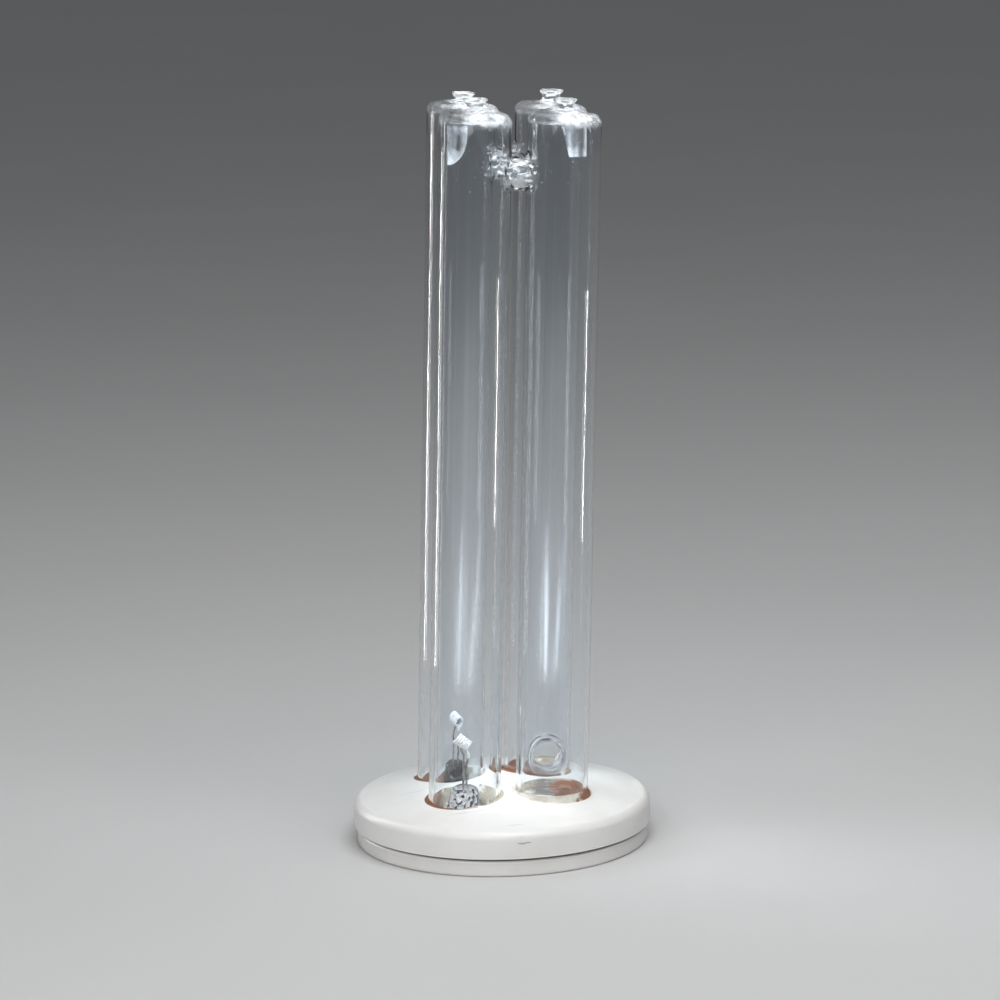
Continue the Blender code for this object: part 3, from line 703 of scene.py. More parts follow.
def make_leads(limb, material):
    """Two support wires: out of the base, up the passages of the stem, crooked over to the coil."""
    place, angle = LIMBS[limb], ELECTRODES[limb][0]
    spread = np.array([math.cos(angle), math.sin(angle), 0.0])
    inward = -place / np.linalg.norm(place)
    across = np.cross(UP, inward)
    _, legs, _ = coil_path(limb)
    for label, sign, leg in (("a", -1.0, legs[0]), ("b", 1.0, legs[1])):
        post = place + spread * (sign * LEAD_SPACING / 2.0)
        offset = across * math.copysign(LEAD_SPACING, across.dot(spread) * sign)
        start = place + offset + inward * LEAD_RUN + UP * LEAD_LEVEL
        turn = post + UP * LEAD_LEVEL
        low = turn + (start - turn) / np.linalg.norm(start - turn) * LEAD_BEND
        high = post + UP * OPEN_FOOT
        top = post + UP * (STEM_TOPS[limb] + CLEARANCE)
        tip = leg - UP * (CLEARANCE + LEAD_RADIUS)
        crook = np.array([post[0], post[1], tip[2] - LEAD_CROOK])
        knee = np.array([tip[0], tip[1], crook[2] + 0.4 * MM])
        path = np.concatenate([loop(
            line(start, low, 6),
            bezier(low, low * 0.4 + turn * 0.6, turn * 0.6 + high * 0.4, high, 10),
            line(high, top, 12),
            line(top, crook, 20),
            bezier(crook, crook * 0.4 + knee * 0.6, knee * 0.6 + tip * 0.4, tip, 12),
        ), tip[None]])
        free = band(path[:, 2], top[2] + 0.3 * MM, top[2] + 2.8 * MM, tip[2] - 2.5 * MM, tip[2])
        path = path + wave(path, 2.6, 71 + 3 * int(sign), 0.14, free)
        make_piece(f"wire_{limb}_{label}", [swept(leant(path), LEAD_RADIUS)], material,
                   [f"lead_{limb}_{label}"])


# Cement

def dome(points):
    """Height of the cap's top: a parabola that falls by the crown from the axis to the rim."""
    edge = CAP_RADIUS - CAP_EDGE
    return RIM + CAP_CROWN * (1.0 - (points[..., 0] ** 2 + points[..., 1] ** 2) / edge ** 2)


def with_height(points, height):
    """Flat points lifted to a height, which is one number or one for each."""
    return stacked(points[..., 0], points[..., 1], height)


def make_cement(limb, material, seed, dip, heap):
    """Cement pressed in round the glass: an uneven top, worked by hand, over a plain plug.

    The top follows the dome, lower by a dip that wanders with the angle, and runs up the glass a
    little. Under a closed foot it is a plug, and round an open one it is a ring.
    """
    place = LIMBS[limb]
    columns, rings = 96, 8
    outer, inner = HOLE_RADIUS - SOCKET_GAP, LIMB_RADIUS + CEMENT_GAP
    unit = circle(2.0 * math.pi * np.arange(columns) / columns)
    shift = (SOCKET_TOP - PIVOT) * math.tan(LEAN)
    world = line(unit * outer, unit * inner + [shift, 0.0], rings) + place[:2]
    level = dome(world)
    across = np.linspace(0.0, 1.0, rings + 1)[:, None]
    probe = with_height(world, 0.1)
    rough = ripple(probe, 3.2, seed) * 0.5 + ripple(probe, 1.3, seed + 1) * 0.5
    wander = ripple(probe, 11.0, seed + 2)
    height = level - dip * (1.0 + 0.6 * wander) + heap * across ** 2 + rough * 0.10 * MM
    height[0] = np.minimum(height[0], level[0] - 0.12 * MM)
    top = with_height(world, height)

    def ring(radius, z, aside):
        """One row of points: a circle at a height, moved aside with the leaning glass."""
        return with_height(unit * radius + [aside, 0.0] + place[:2], z)[None]

    bottom = ring(outer, SOCKET_FLOOR, 0.0)
    if limb in ELECTRODES:
        low_shift = (SOCKET_FLOOR - PIVOT) * math.tan(LEAN)
        rows = [bottom, top, ring(inner, SOCKET_FLOOR, low_shift), bottom]
    else:
        seat = CLOSED_FOOT - CEMENT_GAP
        rows = [ring(0.0, SOCKET_FLOOR, 0.0), bottom, top, ring(inner, seat + 2.2 * MM, shift * 0.8),
                ring(LIMB_RADIUS - 0.8 * MM, seat + 0.5 * MM, shift * 0.7)]
        for radius in np.linspace(LIMB_RADIUS - 2.0 * MM, 0.0, 10):
            bed = ring(radius, seat, shift * 0.7)
            bed[..., 2] += ripple(bed, 2.4, seed + 3) * 0.08 * MM - 0.06 * MM
            rows.append(bed)
    make_piece("cement_fill_" + limb, [grid(np.concatenate(rows), flip=True)], material,
               ["cement_" + limb], weld=1e-6)


# Base

RIM_COLUMNS = 176
QUARTER = RIM_COLUMNS // 4


def matched_circle(edge, centre, radius):
    """Points of a circle, each in the same direction from the centre as its point of the edge."""
    way = edge - centre
    return centre + radius * way / np.linalg.norm(way, axis=1)[:, None]


def holed_sector(edge, centre, radius, rings):
    """A flat patch between a closed edge and the circle of a hole inside it, edge first."""
    t = 1.0 - (1.0 - steps_like(edge, rings)) ** 1.5
    return edge * (1.0 - t) + matched_circle(edge, centre, radius) * t


def turned_points(points, quarter):
    """Points turned round Z by a number of quarter turns; a height stays as it is."""
    cosine, sine = ((1, 0), (0, 1), (-1, 0), (0, -1))[quarter]
    x, y = points[..., 0], points[..., 1]
    return stacked(x * cosine - y * sine, x * sine + y * cosine, *np.moveaxis(points[..., 2:], -1, 0))


def cap_surfaces():
    """The cap: domed top with four rounded holes, sockets under them, rim, skirt and underside."""
    surfaces = []
    edge_radius, bore = CAP_RADIUS - CAP_EDGE, CAP_RADIUS - CAP_WALL
    angle = np.linspace(0.0, math.pi / 2.0, QUARTER + 1)
    middle = np.array([HALF_PITCH, HALF_PITCH])
    bends = np.radians(np.linspace(0.0, 90.0, 6))
    sides = ((True, edge_radius, HOLE_RADIUS + HOLE_EDGE), (False, bore, SOCKET_OUTSIDE))
    for turn in range(4):
        for outside, reach, hole in sides:
            edge = loop(line((0.0, 0.0), (reach, 0.0), 20), circle(angle, reach),
                        line((0.0, reach), (0.0, 0.0), 20))
            flat = turned_points(holed_sector(edge, middle, hole, 10), turn)
            height = dome(flat) - (0.0 if outside else CAP_WALL)
            surfaces.append(grid(with_height(flat, height), flip=outside))
            if not outside:
                wall = np.stack([with_height(flat[-1], height[-1]), with_height(flat[-1], SOCKET_FLOOR)])
                surfaces.append(grid(wall))
                continue
            radii = HOLE_RADIUS + HOLE_EDGE * (1.0 - np.sin(bends))
            rounds = turned_points(np.array([matched_circle(edge, middle, r) for r in radii]), turn)
            rounds = with_height(rounds, dome(rounds) - HOLE_EDGE * (1.0 - np.cos(bends))[:, None])
            socket = turned_points(matched_circle(edge, middle, SOCKET_OUTSIDE), turn)
            feet = [with_height(rounds[-1], SOCKET_FLOOR), with_height(socket, SOCKET_FLOOR)]
            surfaces.append(grid(np.concatenate([rounds, feet]), flip=True))
    start = dome(np.array([edge_radius, 0.0])) - CAP_EDGE
    foot = CAP_FOOT + CAP_FOOT_EDGE
    profile = chain(
        arc(edge_radius, start, CAP_EDGE, 90.0, 0.0, 10),
        line((CAP_RADIUS, start), (CAP_RADIUS, foot), 3),
        arc(CAP_RADIUS - CAP_FOOT_EDGE, foot, CAP_FOOT_EDGE, 0.0, -90.0, 4),
        [(bore, CAP_FOOT), (bore, dome(np.array([bore, 0.0])) - CAP_WALL)],
    )
    surfaces.append(grid(turned(profile, RIM_COLUMNS)))
    return surfaces


def cover_surfaces():
    """The cover: rounded rim, lip, wire outlet and four stepped screw holes."""
    surfaces = []
    start = math.pi / 4.0
    unit = circle(np.linspace(-start, start, QUARTER + 1))
    centre = np.array([SCREW_CIRCLE, 0.0])
    inner = OUTLET_RADIUS + OUTLET_EDGE
    under, over = (loop((unit * inner)[::-1], line(unit[0] * inner, unit[0] * high, 14), unit * high,
                        line(unit[-1] * high, unit[-1] * inner, 14))
                   for high in (COVER_RADIUS - COVER_EDGE, LIP_BORE))
    sink, roof, shaft = (matched_circle(edge, centre, radius) for edge, radius in (
        (under, SINK_RADIUS), (under, SHAFT_HOLE), (over, SHAFT_HOLE)))
    hole = np.stack([with_height(*row) for row in (
        (sink, 0.0), (sink, SINK_ROOF), (roof, SINK_ROOF), (shaft, COVER_FLOOR))])
    underside = with_height(holed_sector(under, centre, SINK_RADIUS, 8), 0.0)
    floor = with_height(holed_sector(over, centre, SHAFT_HOLE, 8), COVER_FLOOR)
    for turn in range(4):
        surfaces.append(grid(turned_points(underside, turn)))
        surfaces.append(grid(turned_points(floor, turn), flip=True))
        surfaces.append(grid(turned_points(hole, turn)))
    outlet = chain(
        [(inner, COVER_FLOOR)],
        arc(inner, COVER_FLOOR - OUTLET_EDGE, OUTLET_EDGE, 90.0, 180.0, 5),
        arc(inner, OUTLET_EDGE, OUTLET_EDGE, 180.0, 270.0, 5),
    )
    surfaces.append(grid(turned(outlet, RIM_COLUMNS, start), flip=True))
    edge_middle = COVER_RADIUS - COVER_EDGE
    rim = chain(
        [(LIP_BORE, COVER_FLOOR), (LIP_BORE, LIP_TOP - LIP_EDGE), (LIP_BORE + LIP_EDGE, LIP_TOP)],
        [(LIP_RADIUS - LIP_EDGE, LIP_TOP), (LIP_RADIUS, LIP_TOP - LIP_EDGE), (LIP_RADIUS, COVER_HEIGHT)],
        arc(edge_middle, COVER_HEIGHT - COVER_EDGE, COVER_EDGE, 90.0, 0.0, 6),
        arc(edge_middle, COVER_EDGE, COVER_EDGE, 0.0, -90.0, 6),
    )
    surfaces.append(grid(turned(rim, RIM_COLUMNS, start)))
    return surfaces


# Material helpers

class Nodes:
    """A node tree with short ways to add to it. A value may be a socket, a number or a colour."""

    def __init__(self, tree):
        """Keep the tree."""
        self.tree = tree

    def feed(self, sockets, **values):
        """Link or set sockets by name, with underscores for spaces; a colour gets an alpha of 1."""
        for name, value in values.items():
            self.put(sockets[name.replace("_", " ")], value)

    def put(self, socket, value):
        """Link one socket, or set it."""
        if isinstance(value, bpy.types.NodeSocket):
            self.tree.links.new(value, socket)
        elif socket.type == "RGBA":
            socket.default_value = (*value, 1.0)
        else:
            socket.default_value = value

    def add(self, kind, **values):
        """A node of a kind with some of its inputs fed."""
        node = self.tree.nodes.new(kind)
        self.feed(node.inputs, **values)
        return node

    def noise(self, vector, scale, detail=3.0, roughness=0.55):
        """Cloudy noise from 0 to 1."""
        return self.add("ShaderNodeTexNoise", Vector=vector, Scale=scale, Detail=detail,
                        Roughness=roughness).outputs["Fac"]

    def stretch(self, vector, scale=(1.0, 1.0, 1.0), location=(0.0, 0.0, 0.0), rotation=(0.0, 0.0, 0.0)):
        """A vector scaled, turned and moved."""
        return self.add("ShaderNodeMapping", Vector=vector, Scale=scale, Location=location,
                        Rotation=rotation).outputs["Vector"]

    def ramp(self, value, low, high, to_low=0.0, to_high=1.0):
        """A value mapped from one range to another, smoothly and clamped."""
        node = self.add("ShaderNodeMapRange", Value=value, From_Min=low, From_Max=high,
                        To_Min=to_low, To_Max=to_high)
        node.interpolation_type = "SMOOTHSTEP"
        return node.outputs["Result"]

    def between(self, value, low, high, edge):
        """1 between two limits and 0 outside them, with edges of a width."""
        return self.times(self.ramp(value, low, low + edge), self.ramp(value, high - edge, high, 1.0, 0.0))

    def maths(self, operation, first, *others):
        """Values worked together by one operation, two at a time."""
        for other in others:
            node = self.add("ShaderNodeMath")
            node.operation = operation
            self.put(node.inputs[0], first)
            self.put(node.inputs[1], other)
            first = node.outputs["Value"]
        return first

    def times(self, *values):
        """The product of values."""
        return self.maths("MULTIPLY", *values)

    def plus(self, *values):
        """The sum of values."""
        return self.maths("ADD", *values)

    def mix(self, factor, first, second):
        """The first colour where a factor is 0 and the second where it is 1."""
        node = self.add("ShaderNodeMix", Factor=factor)
        node.data_type = "RGBA"
        colours = [socket for socket in node.inputs if socket.type == "RGBA"]
        self.put(colours[0], first)
        self.put(colours[1], second)
        return next(socket for socket in node.outputs if socket.type == "RGBA")

    def length(self, vector):
        """The length of a vector."""
        node = self.add("ShaderNodeVectorMath")
        node.operation = "LENGTH"
        self.put(node.inputs[0], vector)
        return node.outputs["Value"]

    def axes(self, vector):
        """The X, Y and Z of a vector."""
        return self.add("ShaderNodeSeparateXYZ", Vector=vector).outputs


class Effect(Nodes):
    """A node group that several materials share, with a place and named numbers as its inputs."""

    def __init__(self, name, inputs, outputs):
        """Make the group with its sockets, of which the inputs have the given values."""
        super().__init__(bpy.data.node_groups.new(name, "ShaderNodeTree"))
        sockets = self.tree.interface
        sockets.new_socket("Place", in_out="INPUT", socket_type="NodeSocketVector")
        for key, value in inputs.items():
            sockets.new_socket(key, in_out="INPUT", socket_type="NodeSocketFloat").default_value = value
        for key in outputs:
            sockets.new_socket(key, in_out="OUTPUT", socket_type="NodeSocketFloat")
        self.given = self.tree.nodes.new("NodeGroupInput").outputs
        self.place = self.given["Place"]
        self.sink = self.tree.nodes.new("NodeGroupOutput").inputs


class Look(Nodes):
    """A material with its Principled shader, and the place of a point in Object coordinates."""

    def __init__(self, name):
        """Make the material and find its shader."""
        self.material = bpy.data.materials.new(name)
        self.material.use_nodes = True
        super().__init__(self.material.node_tree)
        self.shader = self.tree.nodes["Principled BSDF"]
        self.place = self.add("ShaderNodeTexCoord").outputs["Object"]

    def effect(self, name, **values):
        """The outputs of a shared effect at this material's place."""
        node = self.tree.nodes.new("ShaderNodeGroup")
        node.node_tree = bpy.data.node_groups[name]
        self.feed(node.inputs, Place=self.place, **values)
        return node.outputs

    def finish(self, **values):
        """Feed the shader and give the material."""
        self.feed(self.shader.inputs, **values)
        return self.material

    def bump(self, height, strength, distance):
        """A normal bent by the slope of a height."""
        node = self.add("ShaderNodeBump", Height=height, Strength=strength, Distance=distance)
        return node.outputs["Normal"]

    def clear_where(self, mask, tint=(1.0, 1.0, 1.0)):
        """See-through with a tint where a mask is 1, and the shader where it is 0."""
        clear = self.add("ShaderNodeBsdfTransparent", Color=tint)
        mix = self.add("ShaderNodeMixShader")
        for socket, value in zip(mix.inputs, (mask, self.shader.outputs[0], clear.outputs[0])):
            self.put(socket, value)
        self.put(self.tree.nodes["Material Output"].inputs["Surface"], mix.outputs[0])

    def spot(self, centre, size, core):
        """1 in the core of an ellipsoid, of the given place and half sizes, and 0 outside."""
        near = self.stretch(self.place, tuple(1.0 / size), tuple(-centre / size))
        return self.ramp(self.length(near), core, 1.0, 1.0, 0.0)


# Shared effects

UPRIGHT = (0.0, -LEAN, 0.0)
LINE_DEPTH = 0.35
FACET_SIZE = 1300.0
SMALL_FACET = 2.3
FACET_BEND = (0.0022, 0.0022, 0.0022)


def make_drawn_effect():
    """Drawn glass: fine lines along the leaning tube, a slow wander, and haze above a height."""
    group = Effect("drawn_glass", {"Haze Start": 0.19, "Haze End": 0.194}, ["Haze", "Relief", "Smear"])
    place = group.stretch(group.place, rotation=UPRIGHT)
    lines = group.noise(group.stretch(place, (900.0, 900.0, 6.0)), 1.0, 2.0)
    wander = group.noise(group.stretch(place, (40.0, 40.0, 9.0)), 1.0, 1.0)
    crumple = group.noise(place, 900.0, 3.0, 0.6)
    high = group.ramp(group.axes(place)["Z"], group.given["Haze Start"], group.given["Haze End"])
    cloud = group.ramp(group.noise(place, 420.0, 4.0, 0.6), 0.35, 0.65)
    smear = group.noise(group.stretch(place, (160.0, 160.0, 12.0)), 1.0, 2.0, 0.5)
    group.feed(group.sink,
               Haze=group.times(high, group.maths("MAXIMUM", cloud, 0.35)),
               Relief=group.plus(group.times(lines, LINE_DEPTH), wander,
                                 group.times(crumple, high, 3.0)),
               Smear=group.ramp(smear, 0.52, 0.72))


def make_grain_effect():
    """Moulded or sintered skin: grain relief, cloudy patches, and thin scratches."""
    names = {"Grain Size": 1800.0, "Patch Size": 60.0, "Scratch Size": 90.0}
    group = Effect("surface_grain", names, ["Grain", "Patch", "Scratch"])
    strokes = group.stretch(group.place, (1.0, 14.0, 1.0), rotation=(0.0, 0.0, 0.7))
    group.feed(group.sink,
               Grain=group.noise(group.place, group.given["Grain Size"], 3.0, 0.6),
               Patch=group.ramp(group.noise(group.place, group.given["Patch Size"], 5.0, 0.6), 0.35, 0.7),
               Scratch=group.ramp(group.noise(strokes, group.given["Scratch Size"], 2.0, 0.6), 0.70, 0.74))


def make_crumple_effect():
    """Crumpled sheet: bent facets of two sizes that meet in creases, and a mask of the folds between them,
    where shade is painted.
    """
    group = Effect("crumpled_sheet", {}, ["Relief", "Fold"])
    bent = group.add("ShaderNodeTexNoise", Vector=group.place, Scale=800.0, Detail=2.0)
    shift = group.add("ShaderNodeVectorMath")
    shift.operation = "MULTIPLY_ADD"
    for socket, value in zip(shift.inputs, (bent.outputs["Color"], FACET_BEND, group.place)):
        group.put(socket, value)
    large, small = (
        group.add("ShaderNodeTexVoronoi", Vector=shift.outputs["Vector"], Scale=size).outputs["Distance"]
        for size in (FACET_SIZE, FACET_SIZE * SMALL_FACET)
    )
    # The second output is 1 in the folds, where a foil is painted dark as shade.
    group.feed(group.sink,
               Relief=group.plus(large, group.times(small, 0.4), bent.outputs["Fac"]),
               Fold=group.ramp(large, 0.56, 0.74))


# Materials

def foil_material(name, bright, crease_shade, metallic):
    """Crumpled foil: metal facets with sharp creases, and painted shade darkening the folds."""
    look = Look(name)
    made = look.effect("crumpled_sheet")
    # The crease colour is painted shade in the folds.
    return look.finish(Base_Color=look.mix(made["Fold"], bright, crease_shade), Roughness=0.2,
                       Metallic=metallic, Normal=look.bump(made["Relief"], 1.0, 0.0005))


def quartz_material(name, haze_start, haze_end, relief):
    """Clear fused quartz: a trace of blue, faint drawn lines, smears, and haze where it was worked.

    Rays from the lamps pass it with a tint, so that what is inside it is lit.
    """
    look = Look(name)
    made = look.effect("drawn_glass", Haze_Start=haze_start, Haze_End=haze_end)
    rough = look.plus(look.ramp(made["Haze"], 0.0, 1.0, 0.0, 0.22), look.times(made["Smear"], 0.012))
    look.clear_where(look.add("ShaderNodeLightPath").outputs["Is Shadow Ray"], (0.93, 0.95, 0.96))
    return look.finish(Base_Color=(0.965, 0.985, 1.0), Metallic=0.0, IOR=1.458, Transmission_Weight=1.0,
                       Roughness=rough, Normal=look.bump(made["Relief"], relief, 0.0002))


def film_material(name, colour, grain):
    """A milky film: its alpha is the piece's own density, with a fine cloud or streaks over it."""
    look = Look(name)
    density = look.add("ShaderNodeAttribute")
    density.attribute_name = "film_share"
    upright = look.stretch(look.place, rotation=UPRIGHT)
    cloud = look.ramp(look.noise(look.stretch(upright, grain), 1.0, 4.0, 0.6), 0.25, 0.6, 0.55, 1.0)
    grey = tuple(0.8 * part for part in colour)
    return look.finish(Alpha=look.times(density.outputs["Fac"], cloud), Roughness=0.5, Metallic=0.0,
                       Base_Color=look.mix(cloud, grey, colour))


def bead_material(name):
    """Silvery beads, bright on one side and dark on the other."""
    look = Look(name)
    made = look.effect("surface_grain", Grain_Size=3200.0, Patch_Size=900.0)
    return look.finish(Base_Color=look.mix(made["Patch"], (0.95, 0.95, 0.95), (0.7, 0.7, 0.7)),
                       Roughness=0.16, Metallic=0.85)


SCRATCHED = (0.66, 0.64, 0.62)
SCUFFED = (0.46, 0.45, 0.43)
# A pale colour painted in a band along an edge: a painted highlight.
EDGE_HIGHLIGHT = (0.97, 0.965, 0.95)
# Dark brown painted in the parting line: partly dirt, partly painted shade in the gap.
GROOVE_DIRT_AND_SHADE = (0.12, 0.07, 0.045)


def moulding_material(name, colour, shade, groove, highlight_band, scuffs):
    """White moulding: a satin skin with a fine grain, faint soiling, scuffs, a groove painted dark and an
    edge painted pale.

    The groove is the two heights between which dark brown is painted in the parting line, partly dirt and
    partly painted shade, and the next two heights hold an edge band painted pale as a painted highlight. A
    scuff is a place with its half sizes, filled with broken streaks.
    """
    look = Look(name)
    made = look.effect("surface_grain", Grain_Size=2600.0, Patch_Size=45.0, Scratch_Size=55.0)
    skin = look.mix(made["Patch"], colour, shade)
    skin = look.mix(made["Scratch"], skin, SCRATCHED)
    for centre, size in scuffs:
        streaks = look.noise(look.stretch(look.place, (500.0, 500.0, 2600.0)), 1.0)
        streaks = look.ramp(streaks, 0.48, 0.58)
        skin = look.mix(look.times(look.spot(centre, size, 0.7), streaks), skin, SCUFFED)
    height = look.axes(look.place)["Z"]
    # An edge band painted pale: a painted highlight where the edge would catch the light.
    skin = look.mix(look.between(height, *highlight_band, 0.1 * MM), skin, EDGE_HIGHLIGHT)
    # The groove painted dark brown: partly dirt, partly painted shade in the parting line.
    skin = look.mix(look.between(height, *groove, 0.15 * MM), skin, GROOVE_DIRT_AND_SHADE)
    relief = look.maths("SUBTRACT", made["Grain"], look.times(made["Scratch"], 0.8))
    return look.finish(Base_Color=skin, Roughness=look.ramp(made["Patch"], 0.0, 1.0, 0.34, 0.46),
                       Metallic=0.0, IOR=1.5, Normal=look.bump(relief, 0.12, 0.0001))


CEMENT_WHITE = (0.84, 0.82, 0.78)
BLOB_SIZE = np.array([3.9, 2.3, 3.0]) * MM


def cement_material(name, pale_side, edge, centre, pale_ring, grey_width, blob):
    """Basing cement: brown and sandy, with a pale part past an edge and a grey seam between them.

    The seam is as wide as grey_width. The blob is a white spot's place, and may be None. Where
    pale_ring is 1, the ring round the glass is pale too, apart from its right-hand side.
    """
    look = Look(name)
    made = look.effect("surface_grain", Grain_Size=2200.0, Patch_Size=330.0)
    patch = made["Patch"]
    shifted = look.stretch(look.place, location=(-centre[0], -centre[1], 0.0))
    local = look.axes(shifted)
    cloud = look.noise(look.place, 190.0)
    wobble = look.times(look.maths("SUBTRACT", cloud, 0.5), 0.014)
    reach = look.plus(look.times(local["X"], pale_side[0]), look.times(local["Y"], pale_side[1]), wobble)
    far = edge + grey_width

    brown = look.mix(patch, (0.27, 0.105, 0.050), (0.15, 0.055, 0.028))
    brown = look.mix(look.ramp(made["Grain"], 0.55, 0.7), brown, (0.42, 0.25, 0.16))
    grey = look.mix(patch, (0.25, 0.23, 0.21), (0.17, 0.155, 0.14))
    sandy = look.mix(patch, (0.52, 0.46, 0.37), (0.34, 0.29, 0.21))
    sandy = look.mix(look.ramp(cloud, 0.54, 0.6), sandy, CEMENT_WHITE)
    pale = look.mix(look.ramp(reach, far - 1.0 * MM, far + 1.0 * MM), grey, sandy)
    filled = look.mix(look.ramp(reach, edge - 0.8 * MM, edge + 0.2 * MM), brown, pale)
    if blob is not None:
        filled = look.mix(look.spot(blob, BLOB_SIZE, 0.7), filled, CEMENT_WHITE)

    radius = look.length(look.stretch(shifted, (1.0, 1.0, 0.0)))
    rim = look.times(look.ramp(radius, 10.1 * MM, 10.3 * MM, 0.0, 0.7), look.ramp(local["X"], 0.0, 4.0 * MM))
    chalk = look.mix(patch, (0.80, 0.78, 0.73), (0.62, 0.58, 0.50))
    chalk = look.mix(rim, chalk, (0.30, 0.17, 0.11))
    right = look.ramp(look.plus(local["X"], wobble), 6.0 * MM, 8.0 * MM)
    around_glass = look.mix(right, chalk, (0.26, 0.135, 0.075))
    ring = look.ramp(radius, 9.3 * MM, 9.6 * MM, 0.0, pale_ring)
    return look.finish(Base_Color=look.mix(ring, filled, around_glass), Roughness=0.85, Metallic=0.0,
                       Normal=look.bump(made["Grain"], 0.7, 0.0004))


def powder_material(name):
    """White emitter powder on a coil: chalky, with a lumpy skin and greyer hollows."""
    look = Look(name)
    made = look.effect("surface_grain", Grain_Size=5200.0, Patch_Size=1500.0)
    hollow = look.ramp(made["Patch"], 0.5, 1.0)
    return look.finish(Base_Color=look.mix(hollow, (0.80, 0.81, 0.82), (0.50, 0.51, 0.53)),
                       Roughness=0.88, Metallic=0.0, Normal=look.bump(made["Grain"], 0.8, 0.0002))


def metal_material(name, colour, dark, roughness, relief):
    """Wire, sleeve or screw metal: a plain metal with tarnish patches and fine marks."""
    look = Look(name)
    made = look.effect("surface_grain", Grain_Size=3200.0, Patch_Size=700.0)
    rough = look.ramp(made["Patch"], 0.0, 1.0, roughness, roughness + 0.25)
    return look.finish(Base_Color=look.mix(made["Patch"], colour, dark), Roughness=rough, Metallic=1.0,
                       Normal=look.bump(made["Grain"], relief, 0.0002))


# Make the lamp

make_drawn_effect()
make_grain_effect()
make_crumple_effect()
quartz = quartz_material("clear_quartz", 0.1895, 0.1935, 0.03)
stem_quartz = quartz_material("pinched_quartz", 0.30, 0.31, 0.35)
film = film_material("milky_film", (0.86, 0.92, 1.0), (700.0, 700.0, 700.0))
veil = film_material("streaked_veil", (0.88, 0.93, 1.0), (800.0, 800.0, 16.0))
# This frost also carries painted highlights: the bright mass on the crowns and the bright patches in the top
# bridges.
frost_and_glints = film_material("crown_frost_and_glints", (0.95, 0.97, 1.0), (700.0, 700.0, 700.0))
bead = bead_material("wall_beads")
cap_scuffs = [
    (np.array([0.3, -39.2, 9.1]) * MM, np.array([2.2, 1.0, 0.35]) * MM),
    (np.array([-0.6, -39.1, 10.5]) * MM, np.array([0.6, 1.0, 0.35]) * MM),
]
# Each moulding gets the heights of its groove, painted dark brown as dirt and shade, and of an edge band
# painted pale as a highlight.
cap_white = moulding_material("cap_moulding", (0.86, 0.855, 0.84), (0.80, 0.79, 0.765),
                              (3.9 * MM, 4.97 * MM), (5.0 * MM, 5.25 * MM), cap_scuffs)
cover_white = moulding_material("cover_moulding", (0.83, 0.82, 0.80), (0.77, 0.76, 0.735),
                                (4.22 * MM, 7.5 * MM), (3.55 * MM, 4.2 * MM), [])
powder = powder_material("emitter_powder")
wire_metal = metal_material("support_wire", (0.40, 0.39, 0.38), (0.16, 0.15, 0.15), 0.30, 0.3)
foils = {
    "front_left": foil_material("bright_foil", (0.95, 0.95, 0.96), (0.05, 0.05, 0.05), 0.55),
    # The back-left foil is the same foil painted near black as shade, since that stem stands unlit.
    "back_left": foil_material("shaded_foil", (0.06, 0.06, 0.065), (0.015, 0.015, 0.015), 0.5),
}
tin = metal_material("tinned_sleeve", (0.70, 0.67, 0.62), (0.45, 0.42, 0.38), 0.32, 0.3)
zinc = metal_material("zinc_screw", (0.66, 0.67, 0.68), (0.42, 0.42, 0.41), 0.30, 0.2)

envelope = [(leant(worked_glass(points)), quads) for points, quads in envelope_surfaces()]
make_piece("quartz_shell", envelope, quartz, ["quartz_envelope"])
bloom_top = LIMB_TOP - 2.6 * MM
wall_film("bloom_front_left", "front_left", (-59.0, -11.0), (bloom_top, LIMB_TOP - 13.4 * MM),
          half_moon, half_moon_density, film)
wall_film("bloom_front_right", "front_right", (-7.0, 40.0), (bloom_top, LIMB_TOP - 10.9 * MM),
          wedge, wedge_density, film)
wall_film("haze_front_left", "front_left", (-33.0, 30.0), (112.0 * MM, 41.0 * MM),
          straight, haze_density, veil)
wall_film("haze_front_right", "front_right", (-42.0, 24.0), (112.0 * MM, 43.0 * MM),
          straight, haze_density, veil)
for limb in LIMBS:
    crown_film(limb, frost_and_glints)
bridge_film("foot", veil)
bridge_film("top", frost_and_glints)
make_specks(bead)
for limb in ELECTRODES:
    make_stem(limb, stem_quartz, foils[limb])
    make_coil(limb, powder)
    make_leads(limb, wire_metal)
# For each cement: seed, dip, heap, the way to its pale side, and where its grey seam starts
cements = {
    "front_left": (101, 0.35 * MM, 0.15 * MM, (0.98, 0.2), -4.5 * MM),
    "front_right": (113, 0.30 * MM, 0.15 * MM, (-0.95, 0.3), 0.5 * MM),
    "back_left": (127, 0.35 * MM, 0.10 * MM, (0.95, -0.3), -2.0 * MM),
    "back_right": (139, 0.30 * MM, 0.15 * MM, (0.9, 0.4), 1.0 * MM),
}
for limb, (seed, dip, heap, pale_side, edge) in cements.items():
    pale_ring, grey_width, blob = 0.0, 1.4 * MM, None
    if limb == "front_right":
        pale_ring, grey_width = 1.0, 4.2 * MM
        blob = LIMBS[limb] + np.array([-3.4, -6.5, 14.0]) * MM
    material = cement_material("cement_" + limb, pale_side, edge, LIMBS[limb], pale_ring, grey_width,
                               blob)
    make_cement(limb, material, seed, dip, heap)
make_piece("cap_shell", cap_surfaces(), cap_white, ["cap"], sharp=35.0)
make_piece("cover_disc", cover_surfaces(), cover_white, ["base_cover"], sharp=35.0)

for name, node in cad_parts.items():
    if name.startswith(("cover_screw", "crimp")):
        node.data.materials.clear()
        node.data.materials.append(zinc if name.startswith("cover_screw") else tin)


# Studio

